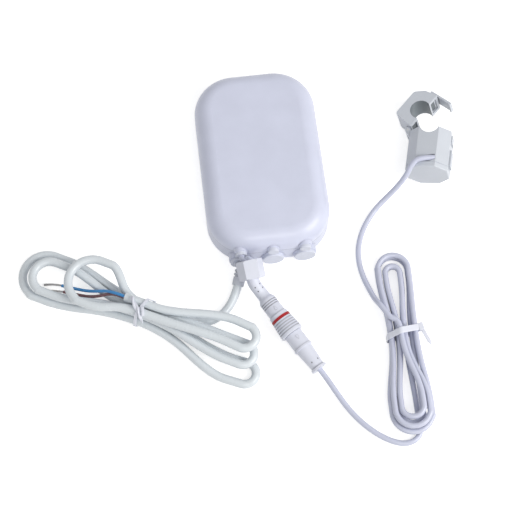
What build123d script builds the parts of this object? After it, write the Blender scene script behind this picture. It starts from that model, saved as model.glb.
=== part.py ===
"""Smart energy monitor: a wall box with a mains lead, and a split core current clamp on its
own lead, which plugs into a waterproof connector.

Millimetres. The box lies on its flat back. The origin is the centre of that back face, +Z goes
out through the front cover, and the cable ports are in the end wall at -Y.
"""
from build123d import *
import math
import os

# Wall box
BOX_LENGTH = 150.0
BOX_WIDTH = 95.0
BOX_HEIGHT = 36.0
CASE_DEPTH = 20.0
CORNER_SHARE = 0.4
CORNER_LESS = 6.0
CORNER_RADIUS = CORNER_SHARE * BOX_WIDTH - CORNER_LESS
COVER_EDGE_LESS = 2.5
COVER_EDGE_RADIUS = BOX_HEIGHT - CASE_DEPTH - COVER_EDGE_LESS
CASE_EDGE_RADIUS = 5.0
WALL = 3.0
OVERRUN = 5.0
PLAY = 0.15

# Cords
ARC_SHARE = 0.45
ARC_SAMPLES = 14
NEIGHBOUR_SHARE = 3.2
TINY_SHARE = 1e-5

# Seal between the shells
SEAL_WIDTH = 1.4
SEAL_DEPTH = 1.2
SEAL_INSET = 1.0

# Screws that hold the shells together
CASE_SCREW_RADIUS = 1.5
CASE_SCREW_HEAD_RADIUS = 2.75
CASE_SCREW_HEAD_HEIGHT = 2.2
CASE_SCREW_BITE = 7.0
CASE_SCREW_RECESS = 8.0
CASE_SCREW_SLOT_WIDTH = 0.8
CASE_BOSS_RADIUS = 4.2
CASE_BOSS_STEP = 6.0
CASE_BOSS_END = 17.5
CASE_BOSS_Y = BOX_LENGTH / 2 - CASE_BOSS_END

# Circuit board and what stands on it
BOARD_END_CLEAR = 25.0
BOARD_SIDE_CLEAR = 9.5
BOARD_LENGTH = BOX_LENGTH - 2 * BOARD_END_CLEAR
BOARD_WIDTH = BOX_WIDTH - 2 * BOARD_SIDE_CLEAR
BOARD_THICKNESS = 1.6
BOARD_CORNER = 17.0
BOARD_SHIFT_Y = 3.0
BOARD_SIDE_X = -BOARD_WIDTH / 2
STANDOFF_HEIGHT = 5.0
STANDOFF_RADIUS = 3.0
BOARD_SCREW_RADIUS = 1.1
BOARD_SCREW_HEAD_RADIUS = 2.1
BOARD_SCREW_HEAD_HEIGHT = 1.4
BOARD_SCREW_BITE = 4.0
BOARD_SCREW_SIDE = 7.0
BOARD_SCREW_SHARE = 0.33
BOARD_SCREW_X = BOARD_WIDTH / 2 - BOARD_SCREW_SIDE
BOARD_SCREW_Y = BOARD_SCREW_SHARE * BOARD_LENGTH
SUPPLY_LENGTH_SHARE = 0.34
SUPPLY_LENGTH = SUPPLY_LENGTH_SHARE * BOARD_LENGTH
SUPPLY_WIDTH = 20.0
SUPPLY_HEIGHT = 15.0
SUPPLY_EDGE = 1.2
SUPPLY_SIDE = 16.0
SUPPLY_SHARE = 0.05
SUPPLY_X = BOARD_SIDE_X + SUPPLY_SIDE
SUPPLY_Y = BOARD_SHIFT_Y + SUPPLY_SHARE * BOARD_LENGTH
CAPACITOR_RADIUS = 5.0
CAPACITOR_HEIGHT = 14.0
CAPACITOR_EDGE = 0.8
CAPACITOR_COUNT = 2
CAPACITOR_CLEAR = 1.5
CAPACITOR_PITCH = 2 * CAPACITOR_RADIUS + CAPACITOR_CLEAR
FUSE_RADIUS = 4.2
FUSE_HEIGHT = 8.0
FUSE_SIDE = 8.0
FUSE_SHARE = -0.21
FUSE_X = BOARD_SIDE_X + FUSE_SIDE
FUSE_Y = BOARD_SHIFT_Y + FUSE_SHARE * BOARD_LENGTH
VARISTOR_RADIUS = 5.5
VARISTOR_THICKNESS = 4.2
VARISTOR_STEP = 14.0
VARISTOR_X = FUSE_X + VARISTOR_STEP
TERMINAL_LENGTH = 11.0
TERMINAL_PITCH = 6.5
TERMINAL_HEIGHT = 11.0
TERMINAL_SCREW_RADIUS = 2.0
TERMINAL_MOUTH_RADIUS = 1.5
TERMINAL_FLOOR = 2.2
TERMINAL_BITE = 3.0
TERMINAL_INSET = 1.5
TERMINAL_SHIFT = 4.0
CHIP_LENGTH = 12.8
CHIP_WIDTH = 7.4
CHIP_HEIGHT = 2.3
CHIP_PINS = 8
CHIP_PIN_WIDTH = 0.6
CHIP_PIN_REACH = 1.3
CHIP_PIN_HEIGHT = 1.0
CHIP_X = 12.0
CHIP_SHARE = -0.17
CHIP_Y = BOARD_SHIFT_Y + CHIP_SHARE * BOARD_LENGTH
RADIO_LENGTH = 25.5
RADIO_WIDTH = 18.0
RADIO_BOARD = 0.8
RADIO_CAN_LENGTH = 17.5
RADIO_CAN_WIDTH = 15.6
RADIO_CAN_HEIGHT = 2.3
RADIO_X = 8.0
RADIO_SHARE = 0.36
RADIO_Y = BOARD_SHIFT_Y + RADIO_SHARE * BOARD_LENGTH
HEADER_LENGTH = 6.0
HEADER_WIDTH = 9.0
HEADER_HEIGHT = 6.5
HEADER_WALL = 0.8
HEADER_DEPTH = 3.5
HEADER_STEP = 18.5
HEADER_PITCH = 12.0
INNER_STRAIGHT = 3.0
INNER_WIRE_SPREAD = 1.4
INNER_WIRE_SHIFT = 1.0
INNER_SAG_SHARE = 0.3

# Cable ports in the end wall
STATION_SHARE = 0.25
STATION_MORE = 0.75
STATION_PITCH = STATION_SHARE * BOX_WIDTH + STATION_MORE
LARGE_PORT_Z = 9.5
LARGE_HOLE_RADIUS = 7.0
LARGE_HEAD_RADIUS = 8.4
LARGE_PAD_RADIUS = 9.2
SMALL_PORT_Z = 23.4
SMALL_HOLE_RADIUS = 3.1
SMALL_HEAD_RADIUS = 4.4
SMALL_PAD_RADIUS = 5.0
PAD_PROUD = 0.4
SMALL_PAD_PROUD = 0.2
PAD_DEPTH = 12.4
SMALL_PAD_DEPTH = 7.6
HEAD_THICKNESS = 2.6
HEAD_EDGE = 0.8
PORT_FLANGE_THICKNESS = 1.2
LARGE_FLANGE_RADIUS = 8.0
SMALL_FLANGE_RADIUS = 4.2

# Mains lead
MAINS_DIAMETER = 6.7
MAINS_BOOT_RADIUS = 4.7
MAINS_BOOT_NECK = 4.0
MAINS_BOOT_RING_RADIUS = 4.8
MAINS_BOOT_RING_WIDTH = 1.5
MAINS_BOOT_RINGS = 3
MAINS_BOOT_RING_PITCH = 2.9
MAINS_BOOT_WAIST = 3.9
MAINS_BOOT_TIP = 4.5
MAINS_EXIT_FROM_END = (-29.5, -19.5, 6.0)
MAINS_FLOOR = MAINS_DIAMETER / 2 + 0.05
MAINS_ROUTE_FROM_END = [
    (-32.5, -27.6, 3.9),
    (-40.6, -38.4, MAINS_FLOOR),
    (-50.8, -44.4, MAINS_FLOOR),
    (-61.2, -45.0, MAINS_FLOOR),
]
MAINS_LAST_RUN = 11.5

# Hank of the mains lead, in its own axes: x to its far end, y across, z up
MAINS_HANK_FROM_END = (-104.0, -32.0)
MAINS_HANK_TURN = 151.8
MAINS_HANK_STEP = 7.5
MAINS_HANK_RISE = 7.2
MAINS_HANK_LIFT = 1.4
MAINS_HANK_IN = 22.0
MAINS_HANK_OUT = 13.5
MAINS_HANK_OUT_SIDE = -2.4
MAINS_STRAND_SHARES = [(-1, 0), (1, 0), (0, 0), (0.5, 1), (-0.5, 1), (0.6, 2), (-0.4, 2)]
MAINS_FAR_LOOPS = [
    {"reach": 80.0, "side": -0.5, "radius": 18.0, "out": 0, "back": 0, "lean": 0},
    {"reach": 76.0, "side": 1.0, "radius": 12.5, "out": 1, "back": 1, "lean": 0},
    {"reach": 42.0, "side": -5.0, "radius": 18.0, "out": 2.05, "back": 2.1, "lean": 0},
]
MAINS_NEAR_LOOPS = [
    {"reach": 90.0, "side": 16.0, "radius": 8.5, "out": 0, "back": 0, "lean": 4},
    {"reach": 84.0, "side": 4.5, "radius": 8.5, "out": 1, "back": 1, "lean": 0},
    {"reach": 81.0, "side": -6.0, "radius": 9.0, "out": 2.1, "back": 2.1, "lean": -4},
]
MAINS_TIE_WIDTH = 3.4
MAINS_TIE_THICKNESS = 0.9
MAINS_TIE_SLANT = -14.0
MAINS_TIE_GAP = 0.35
MAINS_TWIST_RADIUS = 1.1
MAINS_TWIST_LENGTH = 11.0
MAINS_TWIST_SLANT = 35.0

# The two wires of the mains lead and their bare ends, in the hank's axes
WIRE_DIAMETER = 2.4
STRAND_DIAMETER = 1.7
WIRE_SPREAD = 1.45
BLUE_ROUTE = [
    (29.5, -2.6, 17.0),
    (37.5, -0.6, 12.6),
    (45.5, 0.4, 8.4),
    (53.5, 0.7, 5.2),
    (62.8, 1.3, 3.4),
]
BLUE_BARE_ROUTE = [(69.3, 1.9, 2.4), (75.0, 3.4, 1.7), (79.6, 5.6, 1.3)]
BROWN_ROUTE = [
    (27.5, -1.8, 13.8),
    (35.0, 1.6, 9.8),
    (43.0, 3.6, 6.2),
    (51.0, 4.2, 3.8),
    (59.5, 4.9, 2.6),
]
BROWN_BARE_ROUTE = [(66.5, 6.3, 2.0), (74.0, 8.4, 1.5), (80.8, 11.2, 1.2)]
WIRE_FIRST_RUN = 7.5

# Sensor lead
SENSOR_DIAMETER = 4.3
SENSOR_FLOOR = SENSOR_DIAMETER / 2 + 0.05
SENSOR_HANK_FROM_END = (88.3, -73.0)
SENSOR_HANK_TURN = 88.2
SENSOR_HANK_STEP = 5.0
SENSOR_HANK_RISE = 4.8
SENSOR_HANK_LIFT = 1.6
SENSOR_HANK_IN = 70.0
SENSOR_HANK_IN_SIDE = -4.6
SENSOR_HANK_OUT = (14.5, 9.2, 13.2)
SENSOR_HANK_OUT_HEADING = (0.86, 0.5, -0.06)
SENSOR_STRAND_SHARES = [
    (-0.5, 0), (0.5, 0), (-1.6, 0), (1.6, 0), (-2.1, 1), (1.6, 1), (-0.5, 1), (0.5, 1), (0.2, 2),
]
SENSOR_FAR_LOOPS = [
    {"reach": 50.0, "side": 0.0, "radius": 5.7, "out": 0.15, "back": 0.15, "lean": 0},
    {"reach": 52.0, "side": 0.0, "radius": 11.5, "out": 0.15, "back": 0.15, "lean": 0},
    {"reach": 52.0, "side": -0.2, "radius": 11.5, "out": 1.2, "back": 1.2, "lean": 0},
    {"reach": 49.0, "side": 0.8, "radius": 5.5, "out": 1.2, "back": 1.2, "lean": 0},
]
SENSOR_NEAR_LOOPS = [
    {"reach": 61.0, "side": -0.1, "radius": 8.0, "out": 1, "back": 1, "lean": 0},
    {"reach": 61.0, "side": 0.0, "radius": 14.8, "out": 1, "back": 1, "lean": 0},
    {"reach": 60.0, "side": 0.0, "radius": 12.7, "out": 2, "back": 2.06, "lean": 0},
    {"reach": 58.0, "side": -0.1, "radius": 8.0, "out": 2, "back": 2.6, "lean": 0},
]
TIE_WIDTH = 4.8
TIE_THICKNESS = 1.1
TIE_GAP = 0.4
TIE_SLANT = 13.0
TIE_HEAD_LENGTH = 4.2
TIE_HEAD_WIDTH = 6.2
TIE_HEAD_HEIGHT = 4.4
TIE_HEAD_PLACE = (3.3, -14.8, 9.2)
TIE_TAIL = 16.0
TIE_TAIL_WIDTH = 2.8
TIE_TAIL_SLANT = 21.0

# Inline connector: stations along its axis, from the end of its bent tail
PIGTAIL_DIAMETER = 4.3
CONNECTOR_FROM_END = (-9.7, -35.3, 12.5)
CONNECTOR_HEADING = (0.496, -0.8635, -0.0916)
NUT_FROM_END = (-18.8, -14.1, 21.9)
NUT_HEADING = (0.1, -0.935, -0.34)
NUT_FLATS = 17.8
NUT_LENGTH = 14.5
NUT_BORE_RADIUS = 7.6
NUT_BORE_DEPTH = 10.5
NUT_CHAMFER = 0.9
NUT_TAIL_PLAY = 0.5
TAIL_RADIUS = 4.85
TAIL_SETBACK = 2.0
TAIL_KNEE = 10.0
TAIL_LEAD_IN = 6.0
TAIL_BENDS = (13.0, 11.0)
TAIL_BLEND = 1.5
TAIL_DOT_SHARES = (0.25, 0.62)
DOT_ANGLE = 30.0
DOT_RADIUS = 0.55
DOT_DEPTH = 0.9
RIB_ZONE_START = 1.5
RIB_ZONE_LENGTH = 6.0
RIB_COUNT = 3
RIB_DEPTH = 0.55
SOCKET_RADIUS = 6.7
SOCKET_FLANGE_START = 15.1
SOCKET_FLANGE_RADIUS = 7.6
RING_START = 17.9
RING_WIDTH = 2.1
RING_RADIUS = 7.9
RING_PLAY = 0.05
NOSE_RADIUS = 6.2
NOSE_END = 28.0
COUPLING_START = 20.3
COUPLING_END = 33.4
COUPLING_RADIUS_NEAR = 8.2
COUPLING_RADIUS_FAR = 9.2
COUPLING_BORE = 6.95
COUPLING_LIP_BORE = 6.3
COUPLING_LIP = 2.2
COUPLING_GROOVES = 5
COUPLING_GROOVE_DEPTH = 0.6
COUPLING_GROOVE_WIDTH = 0.9
COUPLING_RIM = 2.6
COUPLING_EASE = 0.5
COLLAR_RADIUS = 6.7
COLLAR_WIDTH = 2.5
PLUG_NECK_RADIUS = 6.0
PLUG_START = 33.7
PLUG_RADIUS = 7.05
PLUG_RIM_END = 47.2
PLUG_RIM_RADIUS = 7.6
PLUG_RIM_WIDTH = 1.6
BOOT_RADIUS_NEAR = 6.7
BOOT_RADIUS_FAR = 5.2
BOOT_FLANGE_RADIUS = 6.2
BOOT_FLANGE_WIDTH = 1.8
CONNECTOR_END = 66.6
ARROW_LENGTH = 3.2
ARROW_WIDTH = 2.0
ARROW_RISE = 0.35
SOCKET_ARROW = 9.0
PLUG_ARROW = 37.0
BOOT_DOT_STATION = 60.0
GROOVE_SHARE = 0.35
CONTACT_RADIUS = 0.6
CONTACT_OFFSET = 2.2
CONTACT_REACH = 6.0
CONTACT_PLAY = 0.1
AXIAL_GAP = 0.3

# Sensor lead's two free runs
SENSOR_FIRST_RUN = 10.0
SENSOR_ROUTE_FROM_END = [
    (33.8, -112.2, 3.8),
    (40.4, -124.4, SENSOR_FLOOR),
    (48.8, -136.2, SENSOR_FLOOR),
    (58.4, -145.8, SENSOR_FLOOR),
    (68.0, -152.4, SENSOR_FLOOR),
    (76.9, -155.7, SENSOR_FLOOR),
    (84.7, -154.9, SENSOR_FLOOR),
]
SENSOR_LAST_RUN = 7.0
TAIL_FIRST_RUN = 6.0
TAIL_ROUTE_FROM_END = [
    (72.4, -43.6, 8.2),
    (70.1, -34.2, 4.2),
    (67.3, -23.6, SENSOR_FLOOR),
    (65.5, -11.4, SENSOR_FLOOR),
    (66.7, 1.8, SENSOR_FLOOR),
    (71.6, 14.8, SENSOR_FLOOR),
    (79.0, 26.0, SENSOR_FLOOR),
    (87.3, 34.4, 4.4),
    (95.8, 39.7, 9.6),
    (103.6, 43.8, 17.6),
    (110.0, 48.2, 26.0),
    (114.4, 54.4, 31.3),
]

# Split core clamp, in its own axes: x towards the latch, y towards the jaw, z out of its front
CLAMP_FROM_END = (140.9, 83.0)
CLAMP_TURN = -15.7
CLAMP_ROLL = -15.6
CLAMP_LIFT = 1.0
CLAMP_DEPTH = 29.5
CLAMP_LENGTH = 35.0
CLAMP_FLAT = 15.7
CLAMP_CHAMFER_X = 8.6
CLAMP_CHAMFER_Z = 7.9
CLAMP_WALL = 2.2
CAP_LENGTH = 4.4
CAP_EDGE = 0.9
CAP_LINE = 0.35
CAP_LIP = 2.0
WINDOW_RADIUS = 8.0
WINDOW_SHIFT = 3.0
JAW_DEPTH = 20.0
JAW_LENGTH = 17.6
JAW_FOOT_X = 15.6
JAW_REACH = 17.3
JAW_SHOULDER_X = 15.6
JAW_SHOULDER_Y = 10.6
JAW_TOP_LATCH_SIDE = 10.0
JAW_TOP_HINGE_SIDE = 13.4
JAW_CORNER_RADIUS = 2.4
JAW_GAP = 0.15
JAW_OPEN = 57.0
HINGE_X = -18.4
HINGE_Y = 1.4
HINGE_RADIUS = 2.3
HINGE_PLAY = 0.3
HINGE_PIN_RADIUS = 0.9
HINGE_PIN_PLAY = 0.05
JAW_KNUCKLE = 5.6
CASE_KNUCKLE = 3.6
KNUCKLE_ROOT = 5.5
LATCH_WIDTH = 12.0
LATCH_STANDOFF = 1.6
LATCH_THICKNESS = 1.6
LATCH_TOP = 8.0
LATCH_REACH = 12.0
LATCH_HOOK = 0.7
LATCH_HOOK_LENGTH = 1.6
CATCH_PROUD = 0.8
CATCH_WIDTH = 7.0
CATCH_START = 2.5
CATCH_END = 9.0
RAIL_PROUD = 1.5
RAIL_START = 15.0
RAIL_END = 29.0
POLE_WIDTH = 6.2
POLE_DEPTH = 14.0
POLE_INNER = 8.9
POLE_RECESS = 1.2
CORE_WIDTH = 4.4
CORE_DEPTH = 12.0
CORE_INNER = 9.1
CORE_PLAY = 0.1
CASE_CORE_BOTTOM = 20.0
CASE_CEILING = 8.5
COIL_INNER_PLAY = 0.2
COIL_BUILD = 2.6
COIL_END_PLAY = 0.4
COIL_EDGE = 1.0
COIL_FLANGE = 1.2
LEAD_HOLE_X = 2.6
LEAD_HOLE_Y = -27.4
LEAD_HOLE_RADIUS = 2.8
LEAD_HOLE_DEPTH = 4.5
LEAD_HOLE_HEADING = (0.88, 0.22, -0.42)
LEAD_APPROACH = 8.0


def unit(v):
    """The vector at length one."""
    return Vector(*v).normalized()


def along(start, heading, distance):
    """The place at a distance from a start along a heading."""
    return Vector(*start) + unit(heading) * distance


def axis_plane(start, heading):
    """A plane whose normal is the heading, with its x direction level."""
    h = unit(heading)
    level = Vector(-h.Y, h.X, 0).normalized()
    return Plane(origin=Vector(*start), x_dir=level, z_dir=h)


def turned(profile, start, heading):
    """Turns a profile of (station, radius) pairs round an axis that leaves start."""
    points = [(0, profile[0][0])] + [(r, s) for s, r in profile] + [(0, profile[-1][0])]
    face = make_face(Polyline(*[(x, 0, y) for x, y in points], close=True))
    return axis_plane(start, heading).location * revolve(face, axis=Axis.Z)


def rod(start, heading, radius, near, far):
    """A round rod between two stations of an axis."""
    plane = axis_plane(along(start, heading, near), heading)
    return plane.location * Cylinder(radius, far - near, align=(Align.CENTER, Align.CENTER, Align.MIN))


def rounded_slab(length, width, corner, bottom, top):
    """An upright slab with round corners."""
    return Pos(0, 0, bottom) * extrude(RectangleRounded(width, length, corner), top - bottom)


def y_rod(x, z, radius, y_from, y_to):
    """A round rod along the length of the box."""
    return Pos(x, (y_from + y_to) / 2, z) * Rot(X=90) * Cylinder(radius, abs(y_to - y_from))


def upright(x, y, radius, bottom, top):
    """An upright round rod."""
    return Pos(x, y, (bottom + top) / 2) * Cylinder(radius, top - bottom)


def box_between(x0, x1, y0, y1, z0, z1):
    """A block between two corners."""
    return Pos((x0 + x1) / 2, (y0 + y1) / 2, (z0 + z1) / 2) * Box(x1 - x0, y1 - y0, z1 - z0)


END_Y = -BOX_LENGTH / 2


def from_end(place):
    """The place whose y counts from the box's end wall."""
    x, y, *rest = place
    return (x, END_Y + y, *rest)


MAINS_EXIT = from_end(MAINS_EXIT_FROM_END)
MAINS_ROUTE = [from_end(place) for place in MAINS_ROUTE_FROM_END]
MAINS_HANK_PLACE = from_end(MAINS_HANK_FROM_END)
CONNECTOR_START = from_end(CONNECTOR_FROM_END)
NUT_CENTRE = from_end(NUT_FROM_END)
SENSOR_ROUTE = [from_end(place) for place in SENSOR_ROUTE_FROM_END]
SENSOR_HANK_PLACE = from_end(SENSOR_HANK_FROM_END)
TAIL_ROUTE = [from_end(place) for place in TAIL_ROUTE_FROM_END]
CLAMP_PLACE = from_end(CLAMP_FROM_END)
CASE_BOSS_X = STATION_PITCH + CASE_BOSS_STEP
STATIONS = [-STATION_PITCH, 0.0, STATION_PITCH]
LARGE_FACE_Y = END_Y - PAD_PROUD
SMALL_FACE_Y = END_Y - SMALL_PAD_PROUD
BOARD_Z = WALL + STANDOFF_HEIGHT
BOARD_TOP = BOARD_Z + BOARD_THICKNESS
BOARD_END_Y = BOARD_SHIFT_Y - BOARD_LENGTH / 2


def cover_skin(inset):
    """The cover's outside, or its inside where inset is the wall."""
    slab = rounded_slab(
        BOX_LENGTH - 2 * inset, BOX_WIDTH - 2 * inset, CORNER_RADIUS - inset, CASE_DEPTH, BOX_HEIGHT - inset
    )
    rim = slab.faces().sort_by(Axis.Z)[-1].edges()
    return fillet(rim, COVER_EDGE_RADIUS - inset)


def case_skin(inset):
    """The back case's outside, or its inside where inset is the wall."""
    slab = rounded_slab(
        BOX_LENGTH - 2 * inset, BOX_WIDTH - 2 * inset, CORNER_RADIUS - inset, inset, CASE_DEPTH
    )
    rim = slab.faces().sort_by(Axis.Z)[0].edges()
    return fillet(rim, CASE_EDGE_RADIUS - inset)


def boss_places():
    """Where the shell screws stand."""
    return [(sx * CASE_BOSS_X, sy * CASE_BOSS_Y) for sx in (-1, 1) for sy in (-1, 1)]


def board_screw_places():
    """Where the board is screwed down."""
    return [(sx * BOARD_SCREW_X, BOARD_SHIFT_Y + sy * BOARD_SCREW_Y) for sx in (-1, 1) for sy in (-1, 1)]


def front_cover():
    """The rounded cover, with screw bosses and notches for the small ports."""
    outside = cover_skin(0)
    shell = outside - cover_skin(WALL)
    for x, y in boss_places():
        shell += upright(x, y, CASE_BOSS_RADIUS, CASE_DEPTH, BOX_HEIGHT) & outside
    above = box_between(-BOX_WIDTH, BOX_WIDTH, -BOX_LENGTH, 0, CASE_DEPTH, BOX_HEIGHT)
    for x in STATIONS:
        shell += y_rod(x, SMALL_PORT_Z, SMALL_PAD_RADIUS, SMALL_FACE_Y, SMALL_FACE_Y + SMALL_PAD_DEPTH) & above
    for x, y in boss_places():
        hole_top = CASE_DEPTH + CASE_SCREW_BITE + PLAY
        shell -= upright(x, y, CASE_SCREW_RADIUS + PLAY / 3, CASE_DEPTH - OVERRUN, hole_top)
    outer, inner = SMALL_FACE_Y - OVERRUN, SMALL_FACE_Y + SMALL_PAD_DEPTH + OVERRUN
    half = SMALL_HOLE_RADIUS + PLAY
    for x in STATIONS:
        shell -= y_rod(x, SMALL_PORT_Z, half, outer, inner)
        shell -= box_between(x - half, x + half, outer, inner, CASE_DEPTH - OVERRUN, SMALL_PORT_Z)
    return shell


def seal_loop():
    """The closed band round the rim that the seal fills."""
    outer, inner = SEAL_INSET, SEAL_INSET + SEAL_WIDTH
    bottom = CASE_DEPTH - SEAL_DEPTH
    band = rounded_slab(BOX_LENGTH - 2 * outer, BOX_WIDTH - 2 * outer, CORNER_RADIUS - outer, bottom, CASE_DEPTH)
    return band - rounded_slab(
        BOX_LENGTH - 2 * inner, BOX_WIDTH - 2 * inner, CORNER_RADIUS - inner, bottom - OVERRUN, CASE_DEPTH + OVERRUN
    )


def back_case():
    """The back case, with its large ports, screw columns and board standoffs."""
    shell = case_skin(0) - case_skin(WALL)
    for x in STATIONS:
        shell += y_rod(x, LARGE_PORT_Z, LARGE_PAD_RADIUS, LARGE_FACE_Y, LARGE_FACE_Y + PAD_DEPTH)
    for x, y in boss_places():
        shell += upright(x, y, CASE_BOSS_RADIUS, WALL - PLAY, CASE_DEPTH)
    for x, y in board_screw_places():
        shell += upright(x, y, STANDOFF_RADIUS, WALL - PLAY, BOARD_Z)
    outer, inner = LARGE_FACE_Y - OVERRUN, LARGE_FACE_Y + PAD_DEPTH + OVERRUN
    for x in STATIONS:
        shell -= y_rod(x, LARGE_PORT_Z, LARGE_HOLE_RADIUS + PLAY, outer, inner)
    for x, y in boss_places():
        shell -= upright(x, y, CASE_SCREW_RADIUS + PLAY, -OVERRUN, CASE_DEPTH + OVERRUN)
        shell -= upright(x, y, CASE_SCREW_HEAD_RADIUS + PLAY, -OVERRUN, CASE_SCREW_RECESS)
    for x, y in board_screw_places():
        bottom = BOARD_Z - BOARD_SCREW_BITE - PLAY
        shell -= upright(x, y, BOARD_SCREW_RADIUS + PLAY / 3, bottom, BOARD_Z + OVERRUN)
    return shell - seal_loop()


def pan_screw(x, y, seat, radius, head_radius, head_height, reach, up):
    """A slotted screw whose head bears on seat and whose shank goes reach along up."""
    tip = seat + up * reach
    head_end = seat - up * head_height
    shank = upright(x, y, radius, min(seat, tip), max(seat, tip))
    head = upright(x, y, head_radius, min(seat, head_end), max(seat, head_end))
    head = fillet(head.faces().sort_by(Axis.Z)[0 if up > 0 else -1].edges(), head_height / 3)
    slot = Pos(x, y, head_end) * Box(3 * head_radius, CASE_SCREW_SLOT_WIDTH, head_height)
    return shank + head - slot


def case_screws():
    """The four screws that go up from the back into the cover."""
    reach = CASE_DEPTH + CASE_SCREW_BITE - CASE_SCREW_RECESS
    return [
        pan_screw(
            x, y, CASE_SCREW_RECESS, CASE_SCREW_RADIUS, CASE_SCREW_HEAD_RADIUS, CASE_SCREW_HEAD_HEIGHT, reach, 1
        )
        for x, y in boss_places()
    ]


def board_screws():
    """The four screws that hold the board on its standoffs."""
    reach = BOARD_THICKNESS + BOARD_SCREW_BITE
    return [
        pan_screw(
            x, y, BOARD_TOP, BOARD_SCREW_RADIUS, BOARD_SCREW_HEAD_RADIUS, BOARD_SCREW_HEAD_HEIGHT, reach, -1
        )
        for x, y in board_screw_places()
    ]


def main_board():
    """The circuit board, round cornered to clear the case, with its screw holes."""
    board = Pos(0, BOARD_SHIFT_Y, 0) * rounded_slab(BOARD_LENGTH, BOARD_WIDTH, BOARD_CORNER, BOARD_Z, BOARD_TOP)
    for x, y in board_screw_places():
        board -= upright(x, y, BOARD_SCREW_RADIUS + PLAY, BOARD_Z - OVERRUN, BOARD_TOP + OVERRUN)
    return board


def on_board(x, y, width, length, height):
    """A block that stands on the board."""
    return box_between(
        x - width / 2, x + width / 2, y - length / 2, y + length / 2, BOARD_TOP, BOARD_TOP + height
    )


def power_module():
    """The potted supply, with eased top edges."""
    block = on_board(SUPPLY_X, SUPPLY_Y, SUPPLY_WIDTH, SUPPLY_LENGTH, SUPPLY_HEIGHT)
    return fillet(block.edges().filter_by(Axis.Z) + block.faces().sort_by(Axis.Z)[-1].edges(), SUPPLY_EDGE)


def filter_capacitors():
    """Two upright capacitors beside the supply."""
    cans = []
    for k in range(CAPACITOR_COUNT):
        y = SUPPLY_Y + (k - (CAPACITOR_COUNT - 1) / 2) * CAPACITOR_PITCH
        x = SUPPLY_X + SUPPLY_WIDTH / 2 + CAPACITOR_RADIUS + CAPACITOR_CLEAR
        can = upright(x, y, CAPACITOR_RADIUS, BOARD_TOP, BOARD_TOP + CAPACITOR_HEIGHT)
        cans.append(fillet(can.faces().sort_by(Axis.Z)[-1].edges(), CAPACITOR_EDGE))
    return cans


def fuse():
    """The fuse, an upright can behind the terminals."""
    return upright(FUSE_X, FUSE_Y, FUSE_RADIUS, BOARD_TOP, BOARD_TOP + FUSE_HEIGHT)


def surge_varistor():
    """The surge varistor, a disc that stands on its edge on the board."""
    disc = Pos(VARISTOR_X, FUSE_Y, BOARD_TOP + VARISTOR_RADIUS) * Rot(X=90) * Cylinder(
        VARISTOR_RADIUS, VARISTOR_THICKNESS
    )
    foot = on_board(VARISTOR_X, FUSE_Y, VARISTOR_RADIUS, VARISTOR_THICKNESS, VARISTOR_RADIUS / 2)
    return disc + foot


TERMINAL_X = STATIONS[0] + TERMINAL_SHIFT
HEADER_X = STATIONS[0] + HEADER_STEP
TERMINAL_Y = BOARD_END_Y + TERMINAL_INSET + TERMINAL_LENGTH / 2
TERMINAL_MOUTH_Z = BOARD_TOP + TERMINAL_MOUTH_RADIUS + TERMINAL_FLOOR
HEADER_Y = BOARD_END_Y + TERMINAL_INSET + HEADER_LENGTH / 2
HEADER_LEAD_Z = BOARD_TOP + HEADER_HEIGHT / 2


def terminal_block():
    """Two screw terminals for the mains wires, with wire mouths and screw wells."""
    width = 2 * TERMINAL_PITCH
    block = on_board(TERMINAL_X, TERMINAL_Y, width, TERMINAL_LENGTH, TERMINAL_HEIGHT)
    top = BOARD_TOP + TERMINAL_HEIGHT
    front = TERMINAL_Y - TERMINAL_LENGTH / 2
    for side in (-1, 1):
        x = TERMINAL_X + side * TERMINAL_PITCH / 2
        block -= y_rod(x, TERMINAL_MOUTH_Z, TERMINAL_MOUTH_RADIUS, front - OVERRUN, front + TERMINAL_BITE)
        block -= upright(x, TERMINAL_Y, TERMINAL_SCREW_RADIUS, top - TERMINAL_HEIGHT / 3, top + OVERRUN)
    return block


def metering_chip():
    """The metering chip, with a row of legs on each side."""
    chip = on_board(CHIP_X, CHIP_Y, CHIP_WIDTH, CHIP_LENGTH, CHIP_HEIGHT)
    pitch = CHIP_LENGTH / CHIP_PINS
    for k in range(CHIP_PINS):
        y = CHIP_Y + (k - (CHIP_PINS - 1) / 2) * pitch
        chip += on_board(CHIP_X, y, CHIP_WIDTH + 2 * CHIP_PIN_REACH, CHIP_PIN_WIDTH, CHIP_PIN_HEIGHT)
    return chip


def wifi_module():
    """The radio module: its own board, a metal can and the bare antenna end."""
    board = on_board(RADIO_X, RADIO_Y, RADIO_WIDTH, RADIO_LENGTH, RADIO_BOARD)
    can_y = RADIO_Y - (RADIO_LENGTH - RADIO_CAN_LENGTH) / 2 + RADIO_BOARD
    return board + on_board(RADIO_X, can_y, RADIO_CAN_WIDTH, RADIO_CAN_LENGTH, RADIO_BOARD + RADIO_CAN_HEIGHT)


def sensor_headers():
    """Three sockets, one for each sensor lead that the box can take."""
    headers = []
    front = HEADER_Y - HEADER_LENGTH / 2
    for k in range(len(STATIONS)):
        x = HEADER_X + k * HEADER_PITCH
        block = on_board(x, HEADER_Y, HEADER_WIDTH, HEADER_LENGTH, HEADER_HEIGHT)
        block -= box_between(
            x - HEADER_WIDTH / 2 + HEADER_WALL, x + HEADER_WIDTH / 2 - HEADER_WALL, front - OVERRUN,
            front + HEADER_DEPTH, BOARD_TOP + HEADER_WALL, BOARD_TOP + HEADER_HEIGHT - HEADER_WALL,
        )
        headers.append(block)
    return headers


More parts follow.
